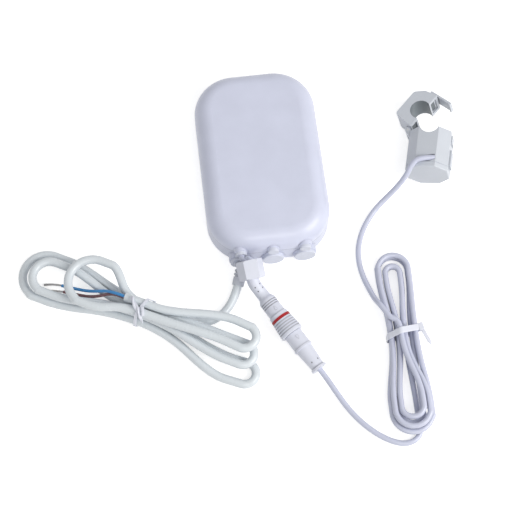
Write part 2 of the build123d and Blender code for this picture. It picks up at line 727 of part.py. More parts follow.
def port_plug(x, z, face_y, pad_depth, head_radius, neck_radius, flange_radius):
    """A plug or gland body: round head outside, neck in the hole, flange inside."""
    head = y_rod(x, z, head_radius, face_y - HEAD_THICKNESS, face_y)
    head = fillet(head.faces().sort_by(Axis.Y)[0].edges(), HEAD_EDGE)
    inner = face_y + pad_depth
    neck = y_rod(x, z, neck_radius, face_y, inner)
    flange = y_rod(x, z, flange_radius, inner, inner + PORT_FLANGE_THICKNESS)
    floor = box_between(x - BOX_WIDTH, x + BOX_WIDTH, inner - OVERRUN, inner + OVERRUN, -OVERRUN, WALL + PLAY)
    return head + neck + (flange - floor)


def large_plug(x):
    """A plug for a large port."""
    return port_plug(
        x, LARGE_PORT_Z, LARGE_FACE_Y, PAD_DEPTH, LARGE_HEAD_RADIUS, LARGE_HOLE_RADIUS, LARGE_FLANGE_RADIUS
    )


def small_plug(x):
    """A plug for a small port."""
    return port_plug(
        x, SMALL_PORT_Z, SMALL_FACE_Y, SMALL_PAD_DEPTH, SMALL_HEAD_RADIUS, SMALL_HOLE_RADIUS, SMALL_FLANGE_RADIUS
    )


BOOT_KNEE = (STATIONS[0], LARGE_FACE_Y - HEAD_THICKNESS - MAINS_BOOT_NECK, LARGE_PORT_Z)
BOOT_LEAN = tuple(e - k for e, k in zip(MAINS_EXIT, BOOT_KNEE))


def mains_boot():
    """The ribbed boot, which leaves the gland square and then leans with the lead."""
    face_y = LARGE_FACE_Y - HEAD_THICKNESS
    ring, waist, width = MAINS_BOOT_RING_RADIUS, MAINS_BOOT_WAIST, MAINS_BOOT_RING_WIDTH
    profile = [(0, waist)]
    station = width
    for k in range(MAINS_BOOT_RINGS - 1):
        profile += [(station, waist), (station, ring), (station + width, ring), (station + width, waist)]
        station += MAINS_BOOT_RING_PITCH
    profile += [(station, waist), (station, MAINS_BOOT_RADIUS), (Vector(*BOOT_LEAN).length, MAINS_BOOT_TIP)]
    boot = turned(profile, BOOT_KNEE, BOOT_LEAN)
    boot += y_rod(STATIONS[0], LARGE_PORT_Z, ring, face_y - width, face_y)
    boot += y_rod(STATIONS[0], LARGE_PORT_Z, waist, face_y - MAINS_BOOT_NECK, face_y - width)
    return boot + Pos(*BOOT_KNEE) * Sphere(waist)


def rounded_path(points):
    """Straight runs joined by arcs, each as large as its two runs allow, with the arcs' radii."""
    pts = [Vector(*p) for p in points]
    radii = []
    for a, b, c in zip(pts, pts[1:], pts[2:]):
        turn = math.radians((b - a).get_angle(c - b))
        radii.append(ARC_SHARE * min((b - a).length, (c - b).length) / math.tan(turn / 2))
    return FilletPolyline(*pts, radius=radii), radii


def tube(points, radius, name):
    """A round cord along a route, with its radii and volume printed."""
    path, radii = rounded_path(points)
    start = Plane(origin=path @ 0, z_dir=path % 0)
    body = sweep(start * Circle(radius), path=path)
    share = body.volume / (math.pi * radius ** 2 * path.length)
    print(f"{name}: {path.length:.1f} long, arcs {[round(r, 1) for r in radii]}, volume share {share:.4f}")
    return body


def half_way(p0, t0, p1, t1):
    """Where the two arcs between two places with given headings meet, and the heading there."""
    v = p1 - p0
    a = 2 * (1 - t0.dot(t1))
    b = 2 * v.dot(t0 + t1)
    c = -v.dot(v)
    reach = -c / b if abs(a) < TINY_SHARE else (-b + math.sqrt(b * b - 4 * a * c)) / (2 * a)
    q0, q1 = p0 + t0 * reach, p1 - t1 * reach
    return (q0 + q1) * 0.5, (q1 - q0).normalized()


def bow(v, t):
    """Half the turn of the arc that leaves along t and ends at v, in radians."""
    return math.acos(max(-1.0, min(1.0, v.normalized().dot(t))))


def arc_sample(p0, t0, p1):
    """Places along the arc that leaves p0 along t0 and ends at p1."""
    v = p1 - p0
    half = bow(v, t0)
    steps = [k / ARC_SAMPLES for k in range(ARC_SAMPLES)]
    if half < TINY_SHARE:
        return [p0 + v * s for s in steps]
    side = (v - t0 * v.dot(t0)).normalized()
    radius = v.length / (2 * math.sin(half))
    return [
        p0 + t0 * (radius * math.sin(2 * half * s)) + side * (radius * (1 - math.cos(2 * half * s)))
        for s in steps
    ]


def least_gap(samples, diameter):
    """The clear distance between stretches of a cord that aren't neighbours along it."""
    reach = [0.0]
    for a, b in zip(samples, samples[1:]):
        reach.append(reach[-1] + (b - a).length)
    best = reach[-1]
    for i, a in enumerate(samples):
        far = [b for b, r in zip(samples[i + 1:], reach[i + 1:]) if r - reach[i] > NEIGHBOUR_SHARE * diameter]
        best = min([best] + [(a - b).length for b in far])
    return best - diameter


def biarc_tube(nodes, radius, name):
    """One unbroken cord through (place, heading) nodes, with a pair of arcs from each to the next."""
    edges, samples, radii = [], [], []
    for (p0, t0), (p1, t1) in zip(nodes, nodes[1:]):
        if bow(p1 - p0, t0) < TINY_SHARE and bow(t1, t0) < TINY_SHARE:
            edges.append(Line(p0, p1))
            samples += arc_sample(p0, t0, p1)
            continue
        mid, heading = half_way(p0, t0, p1, t1)
        for a, ta, b in ((p0, t0, mid), (mid, heading, p1)):
            edges.append(TangentArc(a, b, tangent=ta))
            samples += arc_sample(a, ta, b)
            radii.append((b - a).length / (2 * math.sin(bow(b - a, ta))))
    samples.append(nodes[-1][0])
    path = Wire(edges)
    start = Plane(origin=nodes[0][0], z_dir=nodes[0][1])
    body = sweep(start * Circle(radius), path=path)
    share = body.volume / (math.pi * radius ** 2 * path.length)
    print(f"{name}: {path.length:.1f} long, tightest arc {min(radii):.1f}, volume share {share:.4f}")
    if len(nodes) > 2:
        print(f"{name}: least gap to itself {least_gap(samples, 2 * radius):.2f}")
    return body


def hank_nodes(strands, far_loops, near_loops, step, rise, lift, lowest):
    """Places and headings of a hank: through the waist, round a loop, and through it again.

    strands gives each pass of the waist as steps across and levels up, in the order wound."""
    nodes = []
    for k, (across, level) in enumerate(strands):
        forward = 1 if k % 2 == 0 else -1
        nodes.append((Vector(0, across * step, lowest + lift + level * rise), Vector(forward, 0, 0)))
        if k == len(strands) - 1:
            break
        loop = (far_loops if forward > 0 else near_loops)[k // 2]
        lean = math.radians(loop["lean"])
        heading = Vector(forward * math.cos(lean), -math.sin(lean), 0)
        side = Vector(heading.Y, -heading.X, 0) * loop["radius"]
        centre = Vector(forward * loop["reach"], loop["side"], lowest)
        nodes.append((centre + side + Vector(0, 0, loop["out"] * rise), heading))
        nodes.append((centre - side + Vector(0, 0, loop["back"] * rise), heading * -1))
    return nodes


def placed(place, turn):
    """The move from a hank's own axes to the box's."""
    return Pos(*place, 0) * Rot(Z=turn)


def moved(place, turn, point):
    """A place of a hank's own axes, in the box's axes."""
    a = math.radians(turn)
    x, y, z = point
    return Vector(place[0] + x * math.cos(a) - y * math.sin(a), place[1] + x * math.sin(a) + y * math.cos(a), z)


def from_mains_hank(point):
    """A place of the mains hank's axes, in the box's axes."""
    return moved(MAINS_HANK_PLACE, MAINS_HANK_TURN, point)


def from_sensor_hank(point):
    """A place of the sensor hank's axes, in the box's axes."""
    return moved(SENSOR_HANK_PLACE, SENSOR_HANK_TURN, point)


FORWARD = Vector(1, 0, 0)
MAINS_ENTRY = Vector(-MAINS_HANK_IN, MAINS_STRAND_SHARES[0][0] * MAINS_HANK_STEP, MAINS_FLOOR)
MAINS_LAST_WAIST = Vector(
    0, MAINS_STRAND_SHARES[-1][0] * MAINS_HANK_STEP,
    MAINS_FLOOR + MAINS_HANK_LIFT + MAINS_STRAND_SHARES[-1][1] * MAINS_HANK_RISE,
)
SHEATH_END = Vector(MAINS_HANK_OUT, MAINS_HANK_OUT_SIDE, MAINS_LAST_WAIST.Z)


def mains_hank():
    """The tied hank of the mains lead."""
    nodes = hank_nodes(
        MAINS_STRAND_SHARES, MAINS_FAR_LOOPS, MAINS_NEAR_LOOPS, MAINS_HANK_STEP, MAINS_HANK_RISE,
        MAINS_HANK_LIFT, MAINS_FLOOR,
    )
    entry = [(MAINS_ENTRY, FORWARD), (MAINS_ENTRY + FORWARD * MAINS_DIAMETER, FORWARD)]
    leave = [(SHEATH_END - FORWARD * MAINS_DIAMETER, FORWARD), (SHEATH_END, FORWARD)]
    body = biarc_tube(entry + nodes + leave, MAINS_DIAMETER / 2, "mains_hank")
    return placed(MAINS_HANK_PLACE, MAINS_HANK_TURN) * body


def mains_lead():
    """The mains lead's free run, from its boot to its hank."""
    first = along(MAINS_EXIT, BOOT_LEAN, Vector(*MAINS_ROUTE[0]).sub(Vector(*MAINS_EXIT)).length)
    last = from_mains_hank(MAINS_ENTRY - FORWARD * MAINS_LAST_RUN)
    points = [MAINS_EXIT, first] + MAINS_ROUTE[1:] + [last, from_mains_hank(MAINS_ENTRY)]
    return tube(points, MAINS_DIAMETER / 2, "mains_lead")


def band_prism(strands, step, rise, lowest, radius, reach):
    """A prism along a hank, round all its strands at a radius from each one's centre."""
    circles = [
        Pos(across * step, lowest + level * rise, 0) * Edge.make_circle(radius) for across, level in strands
    ]
    return Rot(Z=90) * Rot(X=90) * Pos(0, 0, -reach) * extrude(make_hull(circles), 2 * reach)


def tie_band(strands, step, rise, lowest, cord_radius, gap, thickness, width, slant):
    """A flat band drawn round a hank's waist, cut square to its own slant, with what lies inside it."""
    outer = band_prism(strands, step, rise, lowest, cord_radius + gap + thickness, len(strands) * width)
    inner = band_prism(strands, step, rise, lowest, cord_radius + gap, len(strands) * width + width)
    slab = Rot(Z=slant) * Box(width, BOX_WIDTH, BOX_LENGTH)
    return outer & slab, inner


def mains_tie():
    """The wire tie round the mains hank, with its twisted ends."""
    lowest = MAINS_FLOOR + MAINS_HANK_LIFT
    band, inner = tie_band(
        MAINS_STRAND_SHARES, MAINS_HANK_STEP, MAINS_HANK_RISE, lowest, MAINS_DIAMETER / 2, MAINS_TIE_GAP,
        MAINS_TIE_THICKNESS, MAINS_TIE_WIDTH, MAINS_TIE_SLANT,
    )
    top = lowest + MAINS_STRAND_SHARES[-1][1] * MAINS_HANK_RISE + MAINS_DIAMETER / 2 + MAINS_TIE_GAP
    twist = Pos(0, 0, top + MAINS_TWIST_RADIUS) * Rot(Z=MAINS_TWIST_SLANT) * Rot(X=90) * Cylinder(
        MAINS_TWIST_RADIUS, MAINS_TWIST_LENGTH
    )
    return placed(MAINS_HANK_PLACE, MAINS_HANK_TURN) * (band + twist - inner)


def wire_start(side):
    """Where a wire leaves the end of the sheath, above or below its middle."""
    return SHEATH_END + Vector(0, 0, side * WIRE_SPREAD)


def mains_wire(side, route, bare, name):
    """One insulated wire of the mains lead, from the sheath's end to its stripped end."""
    start = wire_start(side)
    points = [start, start + FORWARD * WIRE_FIRST_RUN] + route
    last = Vector(*route[-1])
    end = last + (Vector(*bare[0]) - last) * 0.5
    body = tube(points[:-1] + [last, end], WIRE_DIAMETER / 2, name)
    return placed(MAINS_HANK_PLACE, MAINS_HANK_TURN) * body


def bare_strands(route, bare, name):
    """The bare twisted strands beyond a wire's insulation."""
    last = Vector(*route[-1])
    end = last + (Vector(*bare[0]) - last) * 0.5
    body = tube([end] + bare, STRAND_DIAMETER / 2, name)
    return placed(MAINS_HANK_PLACE, MAINS_HANK_TURN) * body


SENSOR_ENTRY = Vector(-SENSOR_HANK_IN, SENSOR_HANK_IN_SIDE, SENSOR_FLOOR)
SENSOR_OUT = Vector(*SENSOR_HANK_OUT)
SENSOR_OUT_HEADING = unit(SENSOR_HANK_OUT_HEADING)
SENSOR_OUT_END = SENSOR_OUT + SENSOR_OUT_HEADING * SENSOR_DIAMETER


def ct_hank():
    """The tied hank of the sensor lead."""
    nodes = hank_nodes(
        SENSOR_STRAND_SHARES, SENSOR_FAR_LOOPS, SENSOR_NEAR_LOOPS, SENSOR_HANK_STEP, SENSOR_HANK_RISE,
        SENSOR_HANK_LIFT, SENSOR_FLOOR,
    )
    entry = [(SENSOR_ENTRY, FORWARD), (SENSOR_ENTRY + FORWARD * SENSOR_DIAMETER, FORWARD)]
    past_tie = nodes[-1][0] + FORWARD * TIE_WIDTH
    leave = [(past_tie, FORWARD), (SENSOR_OUT, SENSOR_OUT_HEADING), (SENSOR_OUT_END, SENSOR_OUT_HEADING)]
    body = biarc_tube(entry + nodes + leave, SENSOR_DIAMETER / 2, "ct_hank")
    return placed(SENSOR_HANK_PLACE, SENSOR_HANK_TURN) * body


def ct_tie():
    """The cable tie round the sensor hank, with its head and tail."""
    lowest = SENSOR_FLOOR + SENSOR_HANK_LIFT
    band, inner = tie_band(
        SENSOR_STRAND_SHARES, SENSOR_HANK_STEP, SENSOR_HANK_RISE, lowest, SENSOR_DIAMETER / 2, TIE_GAP,
        TIE_THICKNESS, TIE_WIDTH, TIE_SLANT,
    )
    head = Pos(*TIE_HEAD_PLACE) * Rot(Z=TIE_SLANT) * Box(TIE_HEAD_WIDTH, TIE_HEAD_LENGTH, TIE_HEAD_HEIGHT)
    tail = Pos(*TIE_HEAD_PLACE) * Rot(Z=TIE_TAIL_SLANT) * Pos(-TIE_TAIL / 2, 0, TIE_HEAD_HEIGHT / 4) * Box(
        TIE_TAIL, TIE_TAIL_WIDTH, TIE_THICKNESS
    )
    return placed(SENSOR_HANK_PLACE, SENSOR_HANK_TURN) * (band + head + tail - inner)


CONNECTOR_EXIT = along(CONNECTOR_START, CONNECTOR_HEADING, CONNECTOR_END)
TAIL_START = along(NUT_CENTRE, NUT_HEADING, -TAIL_SETBACK)
TAIL_POINTS = [
    TAIL_START, along(NUT_CENTRE, NUT_HEADING, TAIL_KNEE),
    along(CONNECTOR_START, CONNECTOR_HEADING, -TAIL_LEAD_IN), Vector(*CONNECTOR_START),
]


def ct_lead():
    """The sensor lead from the connector to its hank."""
    first = along(CONNECTOR_EXIT, CONNECTOR_HEADING, SENSOR_FIRST_RUN)
    last = from_sensor_hank(SENSOR_ENTRY - FORWARD * SENSOR_LAST_RUN)
    points = [CONNECTOR_EXIT, first] + SENSOR_ROUTE + [last, from_sensor_hank(SENSOR_ENTRY)]
    return tube(points, SENSOR_DIAMETER / 2, "ct_lead")


def pigtail_lead():
    """The short lead from the grommet into the connector's bent tail."""
    start = Vector(STATIONS[0], SMALL_FACE_Y - HEAD_THICKNESS, SMALL_PORT_Z)
    nodes = [(start, Vector(0, -1, 0)), (TAIL_START, unit(NUT_HEADING))]
    return biarc_tube(nodes, PIGTAIL_DIAMETER / 2, "pigtail_lead")


def gland_nut():
    """The loose hexagonal nut, hollow towards the box."""
    plane = axis_plane(along(NUT_CENTRE, NUT_HEADING, -NUT_LENGTH / 2), NUT_HEADING)
    corner = NUT_FLATS / math.sqrt(3)
    nut = extrude(RegularPolygon(corner, 6), NUT_LENGTH)
    chamfered = [(0, 0), (0, corner - NUT_CHAMFER), (NUT_CHAMFER, corner)]
    chamfered += [(NUT_LENGTH - NUT_CHAMFER, corner), (NUT_LENGTH, corner - NUT_CHAMFER), (NUT_LENGTH, 0)]
    envelope = revolve(make_face(Polyline(*[(r, 0, s) for s, r in chamfered], close=True)), axis=Axis.Z)
    nut = nut & envelope
    nut -= Pos(0, 0, NUT_BORE_DEPTH / 2) * Cylinder(NUT_BORE_RADIUS, NUT_BORE_DEPTH)
    nut -= Pos(0, 0, NUT_LENGTH / 2) * Cylinder(TAIL_RADIUS + NUT_TAIL_PLAY, 2 * NUT_LENGTH)
    return plane.location * nut


def grooved(start, end, radius, count, depth):
    """Profile of a stretch with evenly spaced square grooves."""
    pitch = (end - start) / count
    width = pitch * GROOVE_SHARE
    profile = []
    for k in range(count):
        s = start + k * pitch
        profile += [(s, radius), (s + pitch - width, radius)]
        profile += [(s + pitch - width, radius - depth), (s + pitch, radius - depth)]
    return profile + [(end, radius)]


def arrow(start, tip, radius):
    """A small raised arrow on the upper side of a barrel, between two stations of the connector."""
    plane = axis_plane(CONNECTOR_START, CONNECTOR_HEADING)
    outline = Polyline((-ARROW_WIDTH / 2, 0, start), (ARROW_WIDTH / 2, 0, start), (0, 0, tip), close=True)
    plate = Pos(0, radius - ARROW_WIDTH / 2, 0) * extrude(
        make_face(outline), ARROW_RISE + ARROW_WIDTH / 2, dir=(0, 1, 0)
    )
    return plane.location * plate


def dot_hole(station, start, heading, angle, radius):
    """A small round hole in a barrel's side, turned by an angle from the upper side."""
    plane = axis_plane(along(start, heading, station), heading)
    return plane.location * Rot(Z=angle) * Pos(0, radius, 0) * Rot(X=90) * Cylinder(DOT_RADIUS, 2 * DOT_DEPTH)


def contact_holes(play):
    """The two contacts, or with play their holes."""
    plane = axis_plane(along(CONNECTOR_START, CONNECTOR_HEADING, NOSE_END), CONNECTOR_HEADING)
    length = 2 * CONTACT_REACH + AXIAL_GAP
    return [
        plane.location * Pos(side * CONTACT_OFFSET, 0, AXIAL_GAP / 2)
        * Cylinder(CONTACT_RADIUS + play, length + 2 * play)
        for side in (-1, 1)
    ]


def socket_half():
    """The box's half of the connector: bent tail with dots, ribs, barrel, flange and nose."""
    path = FilletPolyline(*TAIL_POINTS, radius=list(TAIL_BENDS))
    start = Plane(origin=path @ 0, z_dir=path % 0)
    tail = sweep(start * Circle(TAIL_RADIUS), path=path)
    ribs_end = RIB_ZONE_START + RIB_ZONE_LENGTH
    profile = [(-TAIL_BLEND, TAIL_RADIUS), (RIB_ZONE_START, SOCKET_RADIUS)]
    profile += grooved(RIB_ZONE_START + RIB_DEPTH, ribs_end, SOCKET_RADIUS, RIB_COUNT, RIB_DEPTH)
    profile += [(SOCKET_FLANGE_START, SOCKET_RADIUS), (SOCKET_FLANGE_START, SOCKET_FLANGE_RADIUS)]
    profile += [(RING_START, SOCKET_FLANGE_RADIUS), (RING_START, NOSE_RADIUS), (NOSE_END, NOSE_RADIUS)]
    body = tail + turned(profile, CONNECTOR_START, CONNECTOR_HEADING)
    body += arrow(SOCKET_ARROW + ARROW_LENGTH, SOCKET_ARROW, SOCKET_RADIUS)
    knee, bend = TAIL_POINTS[1], TAIL_POINTS[2]
    for share in TAIL_DOT_SHARES:
        for angle in (-DOT_ANGLE, DOT_ANGLE):
            body -= dot_hole((bend - knee).length * share, knee, bend - knee, angle, TAIL_RADIUS)
    for hole in contact_holes(CONTACT_PLAY):
        body -= hole
    return body


def sealing_ring():
    """The red ring on the socket's nose, against its flange."""
    ring = rod(CONNECTOR_START, CONNECTOR_HEADING, RING_RADIUS, RING_START, RING_START + RING_WIDTH)
    bore = rod(
        CONNECTOR_START, CONNECTOR_HEADING, NOSE_RADIUS + RING_PLAY, RING_START - OVERRUN, RING_START + OVERRUN
    )
    return ring - bore


def coupling_nut():
    """The ribbed nut that turns round both halves, with a lip behind the plug's collar."""
    ribs_end = COUPLING_END - COUPLING_RIM
    pitch = (ribs_end - COUPLING_START) / COUPLING_GROOVES
    profile = []
    for k in range(COUPLING_GROOVES):
        s = COUPLING_START + k * pitch
        r = COUPLING_RADIUS_NEAR + (COUPLING_RADIUS_FAR - COUPLING_RADIUS_NEAR) * k / COUPLING_GROOVES
        profile += [(s, r), (s + pitch - COUPLING_GROOVE_WIDTH, r)]
        profile += [(s + pitch - COUPLING_GROOVE_WIDTH, r - COUPLING_GROOVE_DEPTH)]
        profile += [(s + pitch, r - COUPLING_GROOVE_DEPTH)]
    profile += [(ribs_end, COUPLING_RADIUS_FAR), (COUPLING_END - COUPLING_EASE, COUPLING_RADIUS_FAR)]
    profile += [(COUPLING_END, COUPLING_RADIUS_FAR - COUPLING_EASE)]
    nut = turned(profile, CONNECTOR_START, CONNECTOR_HEADING)
    lip = COUPLING_END - COUPLING_LIP
    nut -= rod(CONNECTOR_START, CONNECTOR_HEADING, COUPLING_BORE, COUPLING_START - OVERRUN, lip)
    return nut - rod(
        CONNECTOR_START, CONNECTOR_HEADING, COUPLING_LIP_BORE, COUPLING_START - OVERRUN, COUPLING_END + OVERRUN
    )


def plug_half():
    """The sensor's half of the connector: collar inside the nut, neck, barrel and rim."""
    collar = NOSE_END + AXIAL_GAP
    neck = collar + COLLAR_WIDTH
    profile = [(collar, COLLAR_RADIUS), (neck, COLLAR_RADIUS), (neck, PLUG_NECK_RADIUS)]
    profile += [(PLUG_START, PLUG_NECK_RADIUS), (PLUG_START, PLUG_RADIUS)]
    profile += [(PLUG_RIM_END - PLUG_RIM_WIDTH, PLUG_RADIUS), (PLUG_RIM_END - PLUG_RIM_WIDTH, PLUG_RIM_RADIUS)]
    profile += [(PLUG_RIM_END, PLUG_RIM_RADIUS)]
    body = turned(profile, CONNECTOR_START, CONNECTOR_HEADING)
    body += arrow(PLUG_ARROW, PLUG_ARROW + ARROW_LENGTH, PLUG_RADIUS)
    for hole in contact_holes(CONTACT_PLAY):
        body -= hole
    return body


def plug_boot():
    """The tapered boot behind the plug, with two dots and an end flange."""
    flange = CONNECTOR_END - BOOT_FLANGE_WIDTH
    profile = [(PLUG_RIM_END, BOOT_RADIUS_NEAR), (flange, BOOT_RADIUS_FAR), (flange, BOOT_FLANGE_RADIUS)]
    profile += [(CONNECTOR_END, BOOT_FLANGE_RADIUS)]
    boot = turned(profile, CONNECTOR_START, CONNECTOR_HEADING)
    middle = (BOOT_RADIUS_NEAR + 2 * BOOT_RADIUS_FAR) / 3
    for angle in (-DOT_ANGLE, DOT_ANGLE):
        boot -= dot_hole(BOOT_DOT_STATION, CONNECTOR_START, CONNECTOR_HEADING, angle, middle)
    return boot


def inner_wire(side, name):
    """A mains wire inside the box, from the gland to its terminal."""
    x = STATIONS[0] + INNER_WIRE_SHIFT + side * INNER_WIRE_SPREAD
    far_x = TERMINAL_X + side * TERMINAL_PITCH / 2
    gland = LARGE_FACE_Y + PAD_DEPTH + PORT_FLANGE_THICKNESS
    mouth = TERMINAL_Y - TERMINAL_LENGTH / 2
    rise = (TERMINAL_MOUTH_Z - LARGE_PORT_Z) / 2
    points = [
        (x, gland, LARGE_PORT_Z),
        (x, gland + INNER_STRAIGHT, LARGE_PORT_Z),
        (far_x, mouth - INNER_STRAIGHT, LARGE_PORT_Z + 2 * rise),
        (far_x, mouth + TERMINAL_BITE, TERMINAL_MOUTH_Z),
    ]
    return tube(points, WIRE_DIAMETER / 2, name)


def inner_sensor_lead():
    """The sensor lead inside the box, from the grommet to the first header."""
    grommet = SMALL_FACE_Y + SMALL_PAD_DEPTH + PORT_FLANGE_THICKNESS
    front = HEADER_Y - HEADER_LENGTH / 2
    x = STATIONS[0]
    points = [
        (x, grommet, SMALL_PORT_Z),
        (x, grommet + INNER_STRAIGHT, SMALL_PORT_Z),
        (x + (HEADER_X - x) * INNER_SAG_SHARE, (grommet + front) / 2, (SMALL_PORT_Z + HEADER_LEAD_Z) / 2),
        (HEADER_X, front - INNER_STRAIGHT, HEADER_LEAD_Z),
        (HEADER_X, front + HEADER_DEPTH, HEADER_LEAD_Z),
    ]
    return tube(points, SENSOR_DIAMETER / 2, "inner_sensor_lead")


HALF_WIDTH = CLAMP_FLAT / 2 + CLAMP_CHAMFER_X
CLAMP_MIDDLE = CLAMP_DEPTH / 2
CLAMP_FOOT = CLAMP_FLAT / 2 * math.sin(math.radians(-CLAMP_ROLL)) + CLAMP_LIFT
CLAMP_MOVE = Pos(*CLAMP_PLACE, CLAMP_FOOT) * Rot(Z=CLAMP_TURN) * Rot(Y=CLAMP_ROLL)
CAP_Y = -CLAMP_LENGTH + CAP_LENGTH


def clamp_prism(inset, y_from, y_to):
    """The clamp's eight sided body between two places along it, or its inside where inset is the wall."""
    flat = CLAMP_FLAT / 2 - inset * math.tan(math.radians(45) / 2)
    wide = HALF_WIDTH - inset
    low = CLAMP_CHAMFER_Z + inset * math.tan(math.radians(45) / 2)
    half = [(flat, inset), (wide, low), (wide, CLAMP_DEPTH - low), (flat, CLAMP_DEPTH - inset)]
    outline = half + [(-x, z) for x, z in reversed(half)]
    face = make_face(Polyline(*[(x, y_from, z) for x, z in outline], close=True))
    return extrude(face, y_to - y_from, dir=(0, 1, 0))


def w_rod(x, y, radius, w_from, w_to):
    """A round rod along the clamp's window axis."""
    return Pos(x, y, (w_from + w_to) / 2) * Cylinder(radius, w_to - w_from)


def pole_boxes(inner, width, depth, y_from, y_to):
    """A pair of blocks, one each side of the window."""
    return [
        box_between(
            min(s * inner, s * (inner + width)), max(s * inner, s * (inner + width)), y_from, y_to,
            CLAMP_MIDDLE - depth / 2, CLAMP_MIDDLE + depth / 2,
        )
        for s in (-1, 1)
    ]


def knuckle(w_from, w_to, root):
    """A hinge knuckle with its arm, which ends at the root edge."""
    circle = Pos(HINGE_X, HINGE_Y, 0) * Edge.make_circle(HINGE_RADIUS)
    face = make_hull([circle, Edge.make_line(*root)])
    return Pos(0, 0, w_from) * extrude(face, w_to - w_from)


def case_knuckle_spans():
    """Where the case's two knuckles lie along the hinge."""
    near = JAW_KNUCKLE / 2 + HINGE_PLAY
    return [
        (CLAMP_MIDDLE - near - CASE_KNUCKLE, CLAMP_MIDDLE - near),
        (CLAMP_MIDDLE + near, CLAMP_MIDDLE + near + CASE_KNUCKLE),
    ]


def window_rod():
    """The round window that the conductor passes through."""
    return w_rod(0, WINDOW_SHIFT, WINDOW_RADIUS, -OVERRUN, CLAMP_DEPTH + OVERRUN)


def lead_hole_place(distance):
    """A place on the lead's way into the clamp, measured in from the mouth of its hole."""
    local = along((LEAD_HOLE_X, LEAD_HOLE_Y, CLAMP_DEPTH), LEAD_HOLE_HEADING, distance)
    roll, turn = math.radians(-CLAMP_ROLL), math.radians(CLAMP_TURN)
    x = local.X * math.cos(roll) - local.Z * math.sin(roll)
    z = local.X * math.sin(roll) + local.Z * math.cos(roll)
    return Vector(
        CLAMP_PLACE[0] + x * math.cos(turn) - local.Y * math.sin(turn),
        CLAMP_PLACE[1] + x * math.sin(turn) + local.Y * math.cos(turn), CLAMP_FOOT + z,
    )


def clamp_case():
    """The fixed half of the clamp: eight sided body, window, pole recesses, knuckles and catch."""
    body = clamp_prism(0, CAP_Y, 0)
    body -= clamp_prism(CLAMP_WALL, CAP_Y - OVERRUN, -CASE_CEILING)
    body -= window_rod()
    for pole in pole_boxes(POLE_INNER, POLE_WIDTH, POLE_DEPTH, -POLE_RECESS, OVERRUN):
        body -= pole
    core = CORE_WIDTH + 2 * CORE_PLAY
    for pole in pole_boxes(CORE_INNER - CORE_PLAY, core, CORE_DEPTH + 2 * CORE_PLAY, -CASE_CEILING - OVERRUN, 0):
        body -= pole
    for w_from, w_to in case_knuckle_spans():
        root = ((-HALF_WIDTH + CLAMP_WALL / 2, -CLAMP_WALL), (-HALF_WIDTH, -KNUCKLE_ROOT))
        body += knuckle(w_from, w_to, root) - clamp_prism(CLAMP_WALL / 2, -CLAMP_LENGTH, 0)
    near = JAW_KNUCKLE / 2 + HINGE_PLAY
    body -= w_rod(HINGE_X, HINGE_Y, HINGE_RADIUS + HINGE_PLAY, CLAMP_MIDDLE - near, CLAMP_MIDDLE + near)
    body -= w_rod(HINGE_X, HINGE_Y, HINGE_PIN_RADIUS + HINGE_PIN_PLAY, -OVERRUN, CLAMP_DEPTH + OVERRUN)
    half = CATCH_WIDTH / 2
    body += box_between(
        HALF_WIDTH - CLAMP_WALL / 2, HALF_WIDTH + CATCH_PROUD, -CATCH_END, -CATCH_START,
        CLAMP_MIDDLE - half, CLAMP_MIDDLE + half,
    )
    body += box_between(
        HALF_WIDTH - CLAMP_WALL / 2, HALF_WIDTH + RAIL_PROUD, -RAIL_END, -RAIL_START,
        CLAMP_MIDDLE - half, CLAMP_MIDDLE + half,
    )
    mouth = (LEAD_HOLE_X, LEAD_HOLE_Y, CLAMP_DEPTH)
    body -= rod(mouth, LEAD_HOLE_HEADING, LEAD_HOLE_RADIUS, -OVERRUN, LEAD_HOLE_DEPTH)
    return CLAMP_MOVE * body


def clamp_end_cap():
    """The cap that closes the clamp's end, with a lip inside its walls."""
    cap = clamp_prism(0, -CLAMP_LENGTH, CAP_Y)
    cap = fillet(cap.faces().sort_by(Axis.Y)[0].edges(), CAP_EDGE)
    cap = chamfer(cap.faces().sort_by(Axis.Y)[-1].edges(), CAP_LINE)
    return CLAMP_MOVE * (cap + clamp_prism(CLAMP_WALL + PLAY, CAP_Y - PLAY, CAP_Y + CAP_LIP))


def clamp_core_case():
    """The fixed half of the core: two legs and the yoke that carries the coil."""
    legs = pole_boxes(CORE_INNER, CORE_WIDTH, CORE_DEPTH, -CASE_CORE_BOTTOM, -POLE_RECESS)
    reach = CORE_INNER + CORE_WIDTH
    yoke = box_between(
        -reach, reach, -CASE_CORE_BOTTOM, -CASE_CORE_BOTTOM + CORE_WIDTH, CLAMP_MIDDLE - CORE_DEPTH / 2,
        CLAMP_MIDDLE + CORE_DEPTH / 2,
    )
    return CLAMP_MOVE * (yoke + legs[0] + legs[1])


def clamp_coil():
    """The bobbin and winding round the yoke, with a flange at each end."""
    y = -CASE_CORE_BOTTOM + CORE_WIDTH / 2
    length = 2 * (CORE_INNER - COIL_END_PLAY)

    def block(grow, long):
        return Pos(0, y, CLAMP_MIDDLE) * Box(long, CORE_WIDTH + 2 * grow, CORE_DEPTH + 2 * grow)

    winding = block(COIL_BUILD, length)
    winding = fillet(winding.edges().filter_by(Axis.X), COIL_EDGE)
    groove = block(COIL_BUILD + OVERRUN, length - 2 * COIL_FLANGE) - block(COIL_BUILD - COIL_EDGE / 2, length)
    return CLAMP_MOVE * (winding - groove - block(COIL_INNER_PLAY, length + OVERRUN))


def opened(shape):
    """The jaw's closed shape, swung open about the hinge and moved with the clamp."""
    swing = Pos(HINGE_X, HINGE_Y, 0) * Rot(Z=JAW_OPEN) * Pos(-HINGE_X, -HINGE_Y, 0)
    return CLAMP_MOVE * swing * shape


